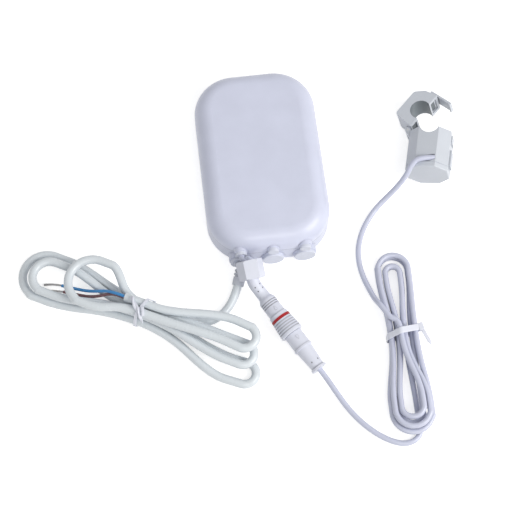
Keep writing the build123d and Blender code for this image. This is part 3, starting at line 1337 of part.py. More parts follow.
def clamp_jaw():
    """The hinged jaw: half window, pole recesses, knuckle and the latch plate with its hook."""
    outline = [
        (-JAW_FOOT_X, JAW_GAP), (-JAW_TOP_HINGE_SIDE, JAW_LENGTH), (JAW_TOP_LATCH_SIDE, JAW_LENGTH),
        (JAW_SHOULDER_X, JAW_SHOULDER_Y), (JAW_REACH, JAW_GAP),
    ]
    low = CLAMP_MIDDLE - JAW_DEPTH / 2
    face = make_face(Polyline(*outline, close=True))
    body = Pos(0, 0, low) * extrude(face, JAW_DEPTH)
    corners = [e for e in body.edges().filter_by(Axis.Z) if e.center().Y > JAW_SHOULDER_Y - JAW_CORNER_RADIUS]
    body = fillet(corners, JAW_CORNER_RADIUS)
    body -= window_rod()
    spans = case_knuckle_spans()
    for w_from, w_to in [(low - OVERRUN, spans[0][1]), (spans[1][0], low + JAW_DEPTH + OVERRUN)]:
        body -= w_rod(HINGE_X, HINGE_Y, HINGE_RADIUS + HINGE_PLAY, w_from, w_to)
    near = JAW_KNUCKLE / 2
    side = -JAW_FOOT_X + HINGE_RADIUS / 2
    root = ((side, HINGE_Y), (side, HINGE_Y + 2 * HINGE_RADIUS))
    body += knuckle(CLAMP_MIDDLE - near, CLAMP_MIDDLE + near, root)
    body -= w_rod(HINGE_X, HINGE_Y, HINGE_PIN_RADIUS + HINGE_PIN_PLAY, -OVERRUN, CLAMP_DEPTH + OVERRUN)
    half = LATCH_WIDTH / 2
    inner = HALF_WIDTH + LATCH_STANDOFF
    outer = inner + LATCH_THICKNESS
    w0, w1 = CLAMP_MIDDLE - half, CLAMP_MIDDLE + half
    plate = box_between(inner, outer, -LATCH_REACH, LATCH_TOP, w0, w1)
    plate += box_between(inner - LATCH_HOOK, outer, -LATCH_REACH, -LATCH_REACH + LATCH_HOOK_LENGTH, w0, w1)
    bridge = box_between(JAW_SHOULDER_X - CLAMP_WALL, outer, JAW_GAP + CLAMP_WALL, LATCH_TOP, w0, w1)
    body += plate + bridge
    for pole in pole_boxes(POLE_INNER, POLE_WIDTH, POLE_DEPTH, -OVERRUN, JAW_GAP + POLE_RECESS):
        body -= pole
    return opened(body - jaw_core_shape(CORE_PLAY))


def jaw_core_shape(play):
    """The jaw's half of the core, an arch with straight feet, or with play the pocket for it."""
    foot = JAW_GAP + POLE_RECESS
    low, high = CLAMP_MIDDLE - CORE_DEPTH / 2 - play, CLAMP_MIDDLE + CORE_DEPTH / 2 + play
    outer, inner = CORE_INNER + CORE_WIDTH + play, CORE_INNER - play
    arch = w_rod(0, WINDOW_SHIFT, outer, low, high) - w_rod(0, WINDOW_SHIFT, inner, low - OVERRUN, high + OVERRUN)
    arch -= box_between(-HALF_WIDTH, HALF_WIDTH, -CLAMP_LENGTH, WINDOW_SHIFT, 0, CLAMP_DEPTH)
    for pole in pole_boxes(inner, outer - inner, high - low, foot, WINDOW_SHIFT):
        arch += pole
    return arch


def clamp_core_jaw():
    """The jaw's half of the core."""
    return opened(jaw_core_shape(0))


def clamp_hinge_pin():
    """The pin through all the knuckles."""
    spans = case_knuckle_spans()
    return CLAMP_MOVE * w_rod(HINGE_X, HINGE_Y, HINGE_PIN_RADIUS, spans[0][0], spans[1][1])


def ct_lead_tail():
    """The sensor lead from its hank up into the clamp."""
    start = from_sensor_hank(SENSOR_OUT_END)
    first = from_sensor_hank(SENSOR_OUT_END + SENSOR_OUT_HEADING * TAIL_FIRST_RUN)
    points = [start, first] + TAIL_ROUTE + [lead_hole_place(-LEAD_APPROACH), lead_hole_place(LEAD_HOLE_DEPTH)]
    return tube(points, SENSOR_DIAMETER / 2, "ct_lead_tail")


def parts():
    """Every sub-part with its name."""
    return {
        "front_cover": front_cover(),
        "back_case": back_case(),
        "case_seal": seal_loop(),
        "case_screws": case_screws(),
        "main_board": main_board(),
        "board_screws": board_screws(),
        "power_module": power_module(),
        "filter_capacitors": filter_capacitors(),
        "fuse": fuse(),
        "surge_varistor": surge_varistor(),
        "terminal_block": terminal_block(),
        "metering_chip": metering_chip(),
        "wifi_module": wifi_module(),
        "sensor_headers": sensor_headers(),
        "inner_blue_wire": inner_wire(-1, "inner_blue_wire"),
        "inner_brown_wire": inner_wire(1, "inner_brown_wire"),
        "inner_sensor_lead": inner_sensor_lead(),
        "large_port_plugs": [large_plug(x) for x in STATIONS[1:]],
        "small_port_plugs": [small_plug(x) for x in STATIONS[1:]],
        "mains_gland": large_plug(STATIONS[0]),
        "mains_strain_relief": mains_boot(),
        "mains_lead": mains_lead(),
        "mains_hank": mains_hank(),
        "mains_tie": mains_tie(),
        "mains_blue_wire": mains_wire(1, BLUE_ROUTE, BLUE_BARE_ROUTE, "mains_blue_wire"),
        "mains_brown_wire": mains_wire(-1, BROWN_ROUTE, BROWN_BARE_ROUTE, "mains_brown_wire"),
        "mains_bare_ends": [
            bare_strands(BLUE_ROUTE, BLUE_BARE_ROUTE, "blue bare end"),
            bare_strands(BROWN_ROUTE, BROWN_BARE_ROUTE, "brown bare end"),
        ],
        "ct_grommet": small_plug(STATIONS[0]),
        "pigtail_lead": pigtail_lead(),
        "gland_nut": gland_nut(),
        "socket_half": socket_half(),
        "sealing_ring": sealing_ring(),
        "coupling_nut": coupling_nut(),
        "plug_half": plug_half(),
        "contact_pins": contact_holes(0),
        "plug_boot": plug_boot(),
        "ct_lead": ct_lead(),
        "ct_hank": ct_hank(),
        "ct_tie": ct_tie(),
        "ct_lead_tail": ct_lead_tail(),
        "clamp_case": clamp_case(),
        "clamp_end_cap": clamp_end_cap(),
        "clamp_core_case": clamp_core_case(),
        "clamp_coil": clamp_coil(),
        "clamp_jaw": clamp_jaw(),
        "clamp_core_jaw": clamp_core_jaw(),
        "clamp_hinge_pin": clamp_hinge_pin(),
    }


def write_parts():
    """Writes each sub-part, a group of like pieces as one file."""
    os.makedirs("parts", exist_ok=True)
    for name, shape in parts().items():
        solids = [s for piece in shape for s in piece.solids()] if isinstance(shape, list) else shape.solids()
        whole = solids[0] if len(solids) == 1 else Compound(children=list(solids))
        export_step(whole, f"parts/{name}.step")


write_parts()
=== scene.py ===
"""Looks of a smart energy monitor: wall box, mains lead, connector, sensor lead and clamp.

Sizes in the classes are millimetres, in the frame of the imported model; meshes are made in metres.
"""

import logging
import math
from dataclasses import dataclass
from enum import Enum

import bpy
import numpy as np
from mathutils import Matrix
from numpy.typing import NDArray


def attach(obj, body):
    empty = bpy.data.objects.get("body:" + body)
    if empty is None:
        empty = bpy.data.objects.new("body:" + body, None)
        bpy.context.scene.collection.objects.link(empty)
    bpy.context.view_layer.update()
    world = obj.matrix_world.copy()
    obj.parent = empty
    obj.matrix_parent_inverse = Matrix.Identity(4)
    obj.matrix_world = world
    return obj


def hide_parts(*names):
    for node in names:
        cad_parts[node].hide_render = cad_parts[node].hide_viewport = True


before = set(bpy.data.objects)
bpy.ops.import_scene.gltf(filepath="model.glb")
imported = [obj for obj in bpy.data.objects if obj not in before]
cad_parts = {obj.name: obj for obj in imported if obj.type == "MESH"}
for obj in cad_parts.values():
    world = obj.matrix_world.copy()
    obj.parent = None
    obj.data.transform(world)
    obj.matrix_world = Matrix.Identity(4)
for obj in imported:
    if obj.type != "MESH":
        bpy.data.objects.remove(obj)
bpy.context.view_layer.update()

Array = NDArray[np.float64]
Piece = bpy.types.Object
Tree = bpy.types.NodeTree
Node = bpy.types.Node
Socket = bpy.types.NodeSocket
Inputs = dict[str | int, object]
Place = tuple[float, float, float]
Route = tuple[Place, ...]
Tone = tuple[int, int, int]

LOG = logging.getLogger("energy_monitor")
MM = 0.001
UP = np.array([0.0, 0.0, 1.0])
FORWARD = np.array([1.0, 0.0, 0.0])
WHITE = (1.0, 1.0, 1.0, 1.0)
GENTLE_EDGE = 32.0  # degrees
MERGE_REACH = 0.002
CURVE_STEPS = 8
BEVEL_STEPS = 6


def unit(vector: Array) -> Array:
    """Returns the vectors along the last axis at length one."""
    return vector / np.linalg.norm(vector, axis=-1, keepdims=True)


def point(*values: float) -> Array:
    """Returns a place or direction as an array."""
    return np.array(values, float)


def all_round(count: int) -> Array:
    """Angles at even steps round a full turn."""
    return np.linspace(0, 2 * np.pi, count, endpoint=False)


def on_circle(angles: Array) -> Array:
    """Cosine and sine of each angle, along a new last axis."""
    return np.stack([np.cos(angles), np.sin(angles)], axis=-1)


def squared_up(values: Array, power: float) -> Array:
    """Signed power of cosines or sines; the smaller it is, the sharper a shape's corners."""
    return np.sign(values) * np.abs(values) ** power


def spin(degrees: float) -> Array:
    """The matrix that turns rows of points about z when they are multiplied by it."""
    a = math.radians(degrees)
    return np.array([[math.cos(a), math.sin(a), 0], [-math.sin(a), math.cos(a), 0], [0, 0, 1]])


def linear(tone: Tone) -> tuple[float, float, float, float]:
    """Turns a display colour into the linear colour that a shader takes, by the screen's curve.

    Args:
        tone: Red, green and blue as a screen shows them, 0 to 255.

    Returns:
        Linear red, green and blue, and an alpha of 1.
    """
    share = np.array(tone) / 255.0
    flat = np.where(share <= 0.04045, share / 12.92, ((share + 0.055) / 1.055) ** 2.4)
    return (*flat.tolist(), 1.0)


@dataclass(frozen=True)
class Nodes:
    """The nodes of a material, world or modifier, and the place that its patterns lie on."""

    tree: Tree
    place: Socket | None = None

    def feed(self, node: Node, inputs: Inputs) -> None:
        """Links or sets inputs of a node.

        Args:
            node: The node.
            inputs: The socket that each input is linked from, or the value that it takes.
        """
        for name, given in inputs.items():
            if isinstance(given, Socket):
                self.tree.links.new(given, node.inputs[name])
            else:
                node.inputs[name].default_value = given

    def add(self, kind: str, output: str | int, inputs: Inputs, **settings: object) -> Socket:
        """Adds a node with its own settings, and feeds its inputs.

        Args:
            kind: The node's type.
            output: The output to return, by name or number.
            inputs: The socket that each input is linked from, or the value that it takes.
            settings: The node's own properties.

        Returns:
            The output.
        """
        node = self.tree.nodes.new(kind)
        for name, value in settings.items():
            setattr(node, name, value)
        self.feed(node, inputs)
        return node.outputs[output]

    def noise(self, place: Socket, scale: float, detail: float) -> Socket:
        """Adds a cloudy pattern that runs from 0 to 1."""
        inputs = {"Vector": place, "Scale": scale, "Detail": detail}
        return self.add("ShaderNodeTexNoise", "Fac", inputs)

    def mixed(self, share: Socket | float, first: Socket, second: object) -> Socket:
        """Adds a mix of two tones, with this share of the second one."""
        inputs = {"Factor": share, "A": first, "B": second}
        return self.add("ShaderNodeMix", "Result", inputs, data_type="RGBA")

    def spread(self, share: Socket, low: float, high: float) -> Socket:
        """Adds what stretches a share from 0 to 1 over a range."""
        inputs = {"Value": share, "To Min": low, "To Max": high}
        return self.add("ShaderNodeMapRange", "Result", inputs)


def in_scene(name: str, data: bpy.types.ID) -> Piece:
    """Puts new data into the scene.

    Args:
        name: The object's name.
        data: Its mesh, curve, lamp or lens.

    Returns:
        The new object, at the origin.
    """
    made = bpy.data.objects.new(name, data)
    bpy.context.scene.collection.objects.link(made)
    return made


class Grain(Enum):
    """What breaks up the surface of a finish."""

    MOULDED = "moulded"
    BRUSHED = "brushed"
    SPECKLED = "speckled"
    WOUND = "wound"
    TRACKS = "tracks"


@dataclass(frozen=True)
class Finish:
    """A procedural material: tone and roughness that wander a little, over a fine relief.

    The scale is the grain's, for each metre, and the clouds and patches have a share of it.
    """

    slot: str
    tone: Tone
    grain: Grain = Grain.MOULDED
    roughness: float = 0.45
    wander: float = 0.03
    relief: float = 0.1
    scale: float = 900.0
    metallic: float = 0.0
    coat: float = 0.0
    coat_roughness: float = 0.2
    mould: str = ""
    tone_range: tuple[float, float] = (0.3, 0.7)
    cloud_share: float = 0.05
    cloud_detail: float = 4.0
    brushed_stretch: float = 0.06
    winding_wobble: float = 0.6
    track_gap: float = 0.06
    patch_share: float = 0.12
    patch_detail: float = 3.0
    roughness_swing: float = 0.06
    least_roughness: float = 0.05
    spark_detail: float = 2.0
    spark_height: float = 0.2
    # Painted shade in hollows: how far the ambient occlusion looks, how strongly it darkens the
    # tone, and its samples.
    painted_shade_reach: float = 1.6
    painted_shade_depth: float = 0.6
    painted_shade_samples: int = 12

    def material(self) -> bpy.types.Material:
        """Builds the material, or returns the one already built for this finish.

        Returns:
            The material, named after the slot of the record.
        """
        name = "finish_" + self.slot + self.mould
        made = bpy.data.materials.get(name)
        if made is not None:
            return made
        made = bpy.data.materials.new(name)
        made.use_nodes = True
        tree = made.node_tree
        nodes = Nodes(tree, tree.nodes.new("ShaderNodeTexCoord").outputs["Object"])
        share = self.pattern(nodes)
        tone = nodes.add("ShaderNodeValToRGB", "Color", {"Fac": share})
        for stop, position, side in zip(tone.node.color_ramp.elements, self.tone_range, (-1, 1)):
            stop.color = (*(c * (1 + side * self.wander) for c in linear(self.tone)[:3]), 1.0)
            stop.position = position
        nodes.feed(tree.nodes["Principled BSDF"], {
            # Base colour: the tone with its seam or window mark, then painted shade in its hollows.
            "Base Color": self.painted_recess_shade(nodes, self.mark(nodes, tone)),
            "Metallic": self.metallic,
            "Roughness": self.rough(nodes),
            "Coat Weight": self.coat,
            "Coat Roughness": self.coat_roughness,
            "Normal": self.bump(nodes, share),
        })
        return made

    def pattern(self, nodes: Nodes) -> Socket:
        """Adds the texture that carries the finish's grain.

        Args:
            nodes: The material's nodes.

        Returns:
            A socket that runs from 0 to 1 over the surface.
        """
        inputs: Inputs = {"Vector": nodes.place, "Scale": self.scale}
        if self.grain is Grain.SPECKLED:
            return nodes.add("ShaderNodeTexVoronoi", "Distance", inputs)
        if self.grain is Grain.WOUND:
            inputs["Distortion"] = self.winding_wobble
            return nodes.add("ShaderNodeTexWave", "Fac", inputs, bands_direction="Z")
        if self.grain is Grain.TRACKS:
            inputs["Mortar Size"] = self.track_gap
            return nodes.add("ShaderNodeTexBrick", "Fac", inputs)
        if self.grain is Grain.BRUSHED:
            inputs["Scale"] = (1.0, self.brushed_stretch, 1.0)
            stretched = nodes.add("ShaderNodeMapping", "Vector", inputs)
            return nodes.noise(stretched, self.scale, self.cloud_detail)
        return nodes.noise(nodes.place, self.scale * self.cloud_share, self.cloud_detail)

    def mark(self, nodes: Nodes, tone: Socket) -> Socket:
        """Leaves the tone as it is; finishes with a painted seam shadow or a darker bore change it
        here.
        """
        return tone

    def painted_recess_shade(self, nodes: Nodes, tone: Socket) -> Socket:
        """Paints shade into grooves, holes and creases, by ambient occlusion of the piece's own
        surface.

        Args:
            nodes: The material's nodes.
            tone: The finish's own tone.

        Returns:
            The tone, darker where the piece's own surface closes in.
        """
        inputs = {"Distance": self.painted_shade_reach * MM, "Color": tone}
        settings = {"only_local": True, "samples": self.painted_shade_samples}
        occluded_tone = nodes.add("ShaderNodeAmbientOcclusion", "Color", inputs, **settings)
        return nodes.mixed(self.painted_shade_depth, tone, occluded_tone)

    def rough(self, nodes: Nodes) -> Socket:
        """Lets the roughness wander with handling and moulding.

        Args:
            nodes: The material's nodes.

        Returns:
            The roughness.
        """
        patches = nodes.noise(nodes.place, self.scale * self.patch_share, self.patch_detail)
        low = max(self.least_roughness, self.roughness - self.roughness_swing)
        return nodes.spread(patches, low, min(1.0, self.roughness + self.roughness_swing))

    def bump(self, nodes: Nodes, share: Socket) -> Socket:
        """Adds the fine relief: spark texture on plastic, or the pattern where it stands up itself.

        Args:
            nodes: The material's nodes.
            share: The finish's own pattern.

        Returns:
            The surface's normal.
        """
        if self.grain in (Grain.MOULDED, Grain.SPECKLED):
            share = nodes.noise(nodes.place, self.scale, self.spark_detail)
        height = self.spark_height * MM
        inputs = {"Strength": self.relief, "Distance": height, "Height": share}
        return nodes.add("ShaderNodeBump", "Normal", inputs)


@dataclass(frozen=True)
class MetalFinish(Finish):
    """The finish of a brushed metal."""

    grain: Grain = Grain.BRUSHED
    metallic: float = 1.0


@dataclass(frozen=True)
class SeamFinish(Finish):
    """A moulding's finish with a painted shadow line where two shells meet at one height."""

    seam: float = 20.0
    seam_half: float = 0.22
    painted_seam_shadow: Tone = (150, 156, 176)

    def mark(self, nodes: Nodes, tone: Socket) -> Socket:
        """Paints a shadow line: darkens the surface within half a seam of its height.

        Args:
            nodes: The material's nodes.
            tone: The finish's own tone.

        Returns:
            The tone with its painted seam shadow.
        """
        height = nodes.add("ShaderNodeSeparateXYZ", "Z", {"Vector": nodes.place})
        inputs = {0: height, 1: self.seam * MM, 2: self.seam_half * MM}
        near = nodes.add("ShaderNodeMath", 0, inputs, operation="COMPARE")
        return nodes.mixed(near, tone, linear(self.painted_seam_shadow))


@dataclass(frozen=True)
class BoreFinish(Finish):
    """A moulding's finish that is darker within a round window."""

    centre: Place = (0.0, 0.0, 0.0)
    axis: Place = (0.0, 0.0, 1.0)
    radius: float = 8.06
    shade: Tone = (112, 121, 128)

    def mark(self, nodes: Nodes, tone: Socket) -> Socket:
        """Darkens what lies within the window: length of the cross product with its axis.

        Args:
            nodes: The material's nodes.
            tone: The finish's own tone.

        Returns:
            The tone with its dark window.
        """
        centre, axis = (point(*self.centre) * MM).tolist(), unit(point(*self.axis)).tolist()
        vector, kind = nodes.place, "ShaderNodeVectorMath"
        for operation, other in (("SUBTRACT", centre), ("CROSS_PRODUCT", axis)):
            vector = nodes.add(kind, "Vector", {0: vector, 1: other}, operation=operation)
        away = nodes.add(kind, "Value", {0: vector}, operation="LENGTH")
        limit = {0: away, 1: self.radius * MM}
        inside = nodes.add("ShaderNodeMath", 0, limit, operation="LESS_THAN")
        return nodes.mixed(inside, tone, linear(self.shade))


# Cover and case carry a painted shadow line at their seam.
COVER = SeamFinish("cover_plastic", (214, 218, 238), roughness=0.34, relief=0.05, coat=0.1)
CASE = SeamFinish("case_plastic", (208, 212, 231), roughness=0.36, relief=0.06)
SEAL = Finish("seal_rubber", (190, 192, 197), roughness=0.7, relief=0.15)
SCREW = MetalFinish("screw_steel", (196, 197, 199), roughness=0.32, scale=2500.0)
BOARD = Finish(
    "board_green", (34, 104, 62), Grain.TRACKS, roughness=0.35, wander=0.25, scale=180.0, coat=0.3
)
MODULE = Finish("module_black", (38, 38, 41), roughness=0.5, wander=0.08)
CAN = MetalFinish("can_aluminium", (205, 206, 208), roughness=0.3, scale=1800.0)
VARISTOR = Finish("varistor_blue", (40, 78, 160), roughness=0.35, coat=0.4)
TERMINAL = Finish("terminal_green", (52, 140, 84), roughness=0.4)
RADIO = MetalFinish("radio_can", (200, 201, 203), roughness=0.35, scale=1500.0)
HEADER = Finish("header_white", (232, 231, 224))
WIRE_BLUE = Finish("wire_blue", (66, 142, 204), roughness=0.36, wander=0.06)
WIRE_BROWN = Finish("wire_brown", (132, 96, 100), roughness=0.4, wander=0.08)
COPPER = MetalFinish("copper_tinned", (192, 190, 190), roughness=0.34, scale=3000.0)
SENSOR = Finish("sensor_sheath", (200, 204, 224), roughness=0.3, relief=0.06, coat=0.25)
MAINS = Finish("mains_sheath", (220, 227, 233), roughness=0.28, relief=0.06, coat=0.25)
GLAND = Finish("gland_plastic", (214, 218, 232), roughness=0.42)
BOOT = Finish("boot_rubber", (208, 212, 222), roughness=0.55, relief=0.12)
TIE = Finish("tie_white", (226, 229, 241), roughness=0.3, coat=0.15)
NUT = Finish("nut_plastic", (221, 224, 237), roughness=0.34, relief=0.05, coat=0.1)
# The connector's painted shade in its hollows is stronger than that of the other finishes.
CONNECTOR = Finish(
    "connector_plastic", (218, 221, 234), roughness=0.4, relief=0.06, painted_shade_depth=0.85
)
RED = Finish("ring_red", (168, 20, 28), roughness=0.42, wander=0.08)
BRASS = MetalFinish("contact_brass", (222, 190, 120), roughness=0.28, scale=2500.0)
CLAMP = Finish("clamp_plastic", (206, 211, 220), roughness=0.4, relief=0.08)
FERRITE = Finish(
    "core_ferrite", (96, 104, 112), Grain.SPECKLED, roughness=0.4, wander=0.12, scale=2200.0
)
COIL = MetalFinish("coil_copper", (186, 112, 66), Grain.WOUND, roughness=0.3, wander=0.2)


def edge_tree() -> Tree:
    """Makes the modifier that merges loose triangles and rounds the shading of gentle edges.

    Returns:
        The modifier's nodes, or those already made.
    """
    made = bpy.data.node_groups.get("gentle_edges")
    if made is not None:
        return made
    made = bpy.data.node_groups.new("gentle_edges", "GeometryNodeTree")
    for way in ("INPUT", "OUTPUT"):
        made.interface.new_socket("Geometry", in_out=way, socket_type="NodeSocketGeometry")
    nodes = Nodes(made)
    angle = nodes.add("GeometryNodeInputMeshEdgeAngle", "Unsigned Angle", {})
    limit = {0: angle, 1: math.radians(GENTLE_EDGE)}
    gentle = nodes.add("FunctionNodeCompare", "Result", limit, operation="LESS_THAN")
    solid = nodes.add("NodeGroupInput", 0, {})
    for kind, inputs, settings in (
        ("RemoveAttribute", {"Name": "custom_normal"}, {}),
        ("MergeByDistance", {"Distance": MERGE_REACH * MM}, {}),
        ("SetShadeSmooth", {}, {}),
        ("SetShadeSmooth", {"Shade Smooth": gentle}, {"domain": "EDGE"}),
    ):
        inputs["Geometry"] = solid
        solid = nodes.add("GeometryNode" + kind, "Geometry", inputs, **settings)
    nodes.feed(made.nodes.new("NodeGroupOutput"), {0: solid})
    return made


def soften(piece: Piece) -> None:
    """Shades a piece smoothly over its curves, with its flats flat and its corners crisp."""
    piece.modifiers.new("gentle_edges", "NODES").node_group = edge_tree()
    piece.modifiers.new("flat_faces", "WEIGHTED_NORMAL").keep_sharp = True


def skin(name: str, grids: list[Array]) -> Piece:
    """Makes one mesh of several grids, each round along its second axis, with capped ends.

    A face joins (u, v), (u, v + 1), (u + 1, v + 1) and (u + 1, v).

    Args:
        name: The piece's name.
        grids: Points of shape (rows, columns, 3), in millimetres.

    Returns:
        The new object, at the origin.
    """
    points, faces, start = [], [], 0
    for grid in grids:
        rows, columns = grid.shape[:2]
        index = np.arange(rows * columns).reshape(rows, columns) + start
        beside = np.roll(index, -1, axis=1)
        quads = np.stack([index[:-1], beside[:-1], beside[1:], index[1:]], axis=-1)
        faces += quads.reshape(-1, 4).tolist() + [index[0][::-1].tolist(), index[-1].tolist()]
        points.append(grid.reshape(-1, 3) * MM)
        start += rows * columns
    mesh = bpy.data.meshes.new(name)
    mesh.from_pydata(np.vstack(points), [], faces)
    mesh.update()
    piece = in_scene(name, mesh)
    soften(piece)
    return piece


def section(width: float, height: float, columns: int = 28, corner: float = 0.35) -> Array:
    """Outline of a flat strip with round corners: half sizes times squared up cosine and sine.

    Args:
        width: Size across the strip.
        height: Size through the strip.
        columns: Points round the outline.
        corner: The power that squares it up.

    Returns:
        Points of shape (columns, 2), anticlockwise.
    """
    return squared_up(on_circle(all_round(columns)), corner) * point(width, height) / 2


def circle(radii: Array, columns: int) -> Array:
    """Round outlines, one for each radius: radius times cosine and sine."""
    return radii[:, None, None] * on_circle(all_round(columns))


def carried(path: Array, outline: Array) -> Array:
    """Carries an outline along a path that is nowhere upright.

    Point = path + outline's x times the level normal + outline's y times the other normal.

    Args:
        path: Points of shape (rows, 3).
        outline: Points of shape (rows, columns, 2) or (columns, 2).

    Returns:
        A grid of shape (rows, columns, 3).
    """
    ahead = unit(np.gradient(path, axis=0))
    level = unit(np.cross(UP, ahead))
    over = np.cross(ahead, level)
    outline = np.broadcast_to(outline, (len(path), *outline.shape[-2:]))
    return path[:, None] + outline[..., :1] * level[:, None] + outline[..., 1:] * over[:, None]


def reach_along(path: Array) -> Array:
    """Distance along a path at each of its points, as the running sum of its steps."""
    return np.concatenate([[0.0], np.cumsum(np.linalg.norm(np.diff(path, axis=0), axis=1))])


def spline(name: str, controls: Array, radius: float) -> Piece:
    """Makes a cord as one smooth curve of order 3 that its control points pull along.

    Args:
        name: The piece's name.
        controls: Control points, in millimetres.
        radius: The cord's radius, or zero for a bare line.

    Returns:
        The curve object, at the origin.
    """
    curve = bpy.data.curves.new(name, "CURVE")
    curve.dimensions = "3D"
    curve.resolution_u = CURVE_STEPS
    curve.bevel_depth = radius * MM
    curve.bevel_resolution = BEVEL_STEPS
    curve.use_fill_caps = radius > 0
    line = curve.splines.new("NURBS")
    line.points.add(len(controls) - 1)
    weighted = np.hstack([controls * MM, np.ones((len(controls), 1))])
    line.points.foreach_set("co", weighted.ravel())
    line.order_u = 3
    line.use_endpoint_u = True
    line.use_smooth = True
    return in_scene(name, curve)


def read_line(controls: Array | Route) -> Array:
    """Reads the points of the curve that control points give.

    Args:
        controls: Control points, in millimetres.

    Returns:
        Points along the curve, in millimetres.
    """
    bare = spline("bare_line", np.array(controls), 0.0)
    bpy.context.view_layer.update()
    mesh = bpy.data.meshes.new_from_object(bare)
    flat = np.empty(len(mesh.vertices) * 3, np.float32)
    mesh.vertices.foreach_get("co", flat)
    bpy.data.objects.remove(bare)
    bpy.data.meshes.remove(mesh)
    return flat.reshape(-1, 3).astype(float) / MM


def even_line(controls: Array | Route, rows: int) -> Array:
    """Points at even steps along the curve of some control points.

    Args:
        controls: Control points, in millimetres.
        rows: How many points.

    Returns:
        Points of shape (rows, 3), in millimetres.
    """
    line = read_line(controls)
    reach = reach_along(line)
    steps = np.linspace(0, reach[-1], rows)
    return np.stack([np.interp(steps, reach, line[:, axis]) for axis in range(3)], axis=-1)


def line_length(controls: Array) -> float:
    """Length in metres of the curve that control points give."""
    return float(reach_along(read_line(controls))[-1]) * MM


@dataclass(frozen=True)
class Loop:
    """One half turn of a hank: its centre, its radius, and its levels on the way out and back."""

    reach: float
    side: float
    radius: float
    out: float
    back: float
    lean: float = 0.0


@dataclass(frozen=True)
class Band:
    """The flat band of a tie: its gap to the cord, its section, and its slant in degrees."""

    gap: float
    width: float
    thickness: float
    slant: float
    rows: int = 160


@dataclass(frozen=True)
class Hank:
    """A cord wound to and fro through a tied waist, in its own axes: x to its far end, z up.

    Headings count as parallel, and a place as in line, below the last two numbers.
    """

    place: tuple[float, float]
    turn: float
    step: float
    rise: float
    lift: float
    floor: float
    strands: tuple[tuple[float, float], ...]
    far: tuple[Loop, ...]
    near: tuple[Loop, ...]
    turn_points: int = 6
    parallel: float = 1e-5
    in_line: float = 1e-6

    def to_box(self, points: Array) -> Array:
        """Turns places of the hank's axes into the box's: a turn about z, then a shift."""
        return points @ spin(self.turn) + np.array([*self.place, 0])

    def waist(self) -> Array:
        """Strand centres at the waist: steps across it, and rises over its lowest level.

        Returns:
            Points of shape (passes, 3), in the hank's axes.
        """
        across, level = np.array(self.strands, float).T
        height = self.floor + self.lift + level * self.rise
        return np.stack([0 * across, across * self.step, height], axis=-1)

    def corners(self, a: Array, heading_a: Array, b: Array, heading_b: Array) -> list[Array]:
        """The two corners of the S bend between two places.

        Each corner lies one reach from its end, and the corners lie two reaches apart.

        Args:
            a: Where the bend starts.
            heading_a: Its heading there.
            b: Where it ends.
            heading_b: Its heading there.

        Returns:
            The corner after a and the corner before b.
        """
        gap = b - a
        square = 2 * (1 - heading_a @ heading_b)
        single = 2 * gap @ (heading_a + heading_b)
        if abs(square) > self.parallel:
            reach = (math.sqrt(single**2 + 4 * square * (gap @ gap)) - single) / (2 * square)
        else:
            reach = gap @ gap / single
        return [a + heading_a * reach, b - heading_b * reach]

    def half_turn(self, loop: Loop, forward: int) -> tuple[Array, Array, Array]:
        """Control points of one loop, evenly spaced on a circle a little outside it.

        Args:
            loop: The loop's size and place.
            forward: 1 where the cord goes out to the far end, else -1.

        Returns:
            The points, the heading at the loop's start, and the places of its start and end.
        """
        lean = math.radians(loop.lean)
        heading = point(forward * math.cos(lean), -math.sin(lean), 0)
        side = point(heading[1], -heading[0], 0) * loop.radius
        centre = point(forward * loop.reach, loop.side, self.floor)
        start = centre + side + UP * loop.out * self.rise
        end = centre - side + UP * loop.back * self.rise
        share = (np.arange(self.turn_points) + 0.5) / self.turn_points
        half_step = math.pi / self.turn_points / 2
        angle = (math.pi * share)[:, None]
        inside = side * np.cos(angle) + heading * loop.radius * np.sin(angle)
        arc = centre + inside / math.cos(half_step)
        arc[:, 2] = start[2] + (end[2] - start[2]) * share
        ease = heading * loop.radius * math.tan(half_step)
        return np.vstack([start - ease, arc, end + ease]), heading, np.stack([start, end])

    def controls(self, entry: Array, leave: list[tuple[Array, Array]]) -> Array:
        """Control points of the whole hank, in its own axes.

        Args:
            entry: Where the cord comes in, heading for the far end.
            leave: Places and headings after the last pass of the waist.

        Returns:
            Points of shape (count, 3), without the entry itself.
        """
        points: list[Array] = []
        place, heading = entry, FORWARD
        waist = self.waist()
        for k, strand in enumerate(waist):
            forward, loops = (1, self.far) if k % 2 == 0 else (-1, self.near)
            points += self.corners(place, heading, strand, FORWARD * forward)
            place, heading = strand, FORWARD * forward
            if k < len(waist) - 1:
                arc, ahead, ends = self.half_turn(loops[k // 2], forward)
                points += self.corners(place, heading, ends[0], ahead) + list(arc)
                place, heading = ends[1], -ahead
        for target, ahead in leave:
            if np.linalg.norm(np.cross(target - place, ahead)) > self.in_line:
                points += self.corners(place, heading, target, ahead)
            place, heading = target, ahead
        return np.array(points + [place])

    def tied(self, band: Band, radius: float) -> Array:
        """A flat band drawn tight round the waist.

        For each direction across the waist, the outline is the strand centre that lies farthest
        that way plus the radius along it. The band's section is carried round that outline, and x
        moves with y by the tangent of the slant.

        Args:
            band: The band.
            radius: The cord's radius.

        Returns:
            A grid of shape (rows + 1, columns, 3), in the hank's axes, that ends where it starts.
        """
        out = on_circle(all_round(band.rows))
        centres = self.waist()[:, 1:]
        farthest = centres[np.argmax(centres @ out.T, axis=0)]
        outline = section(band.width, band.thickness)
        away = radius + band.gap + band.thickness / 2 + outline[None, :, 1:]
        across = farthest[:, None] + out[:, None] * away
        lean = math.radians(band.slant)
        along = outline[None, :, 0] / math.cos(lean) - across[..., 0] * math.tan(lean)
        grid = np.concatenate([along[..., None], across], axis=-1)
        return np.vstack([grid, grid[:1]])


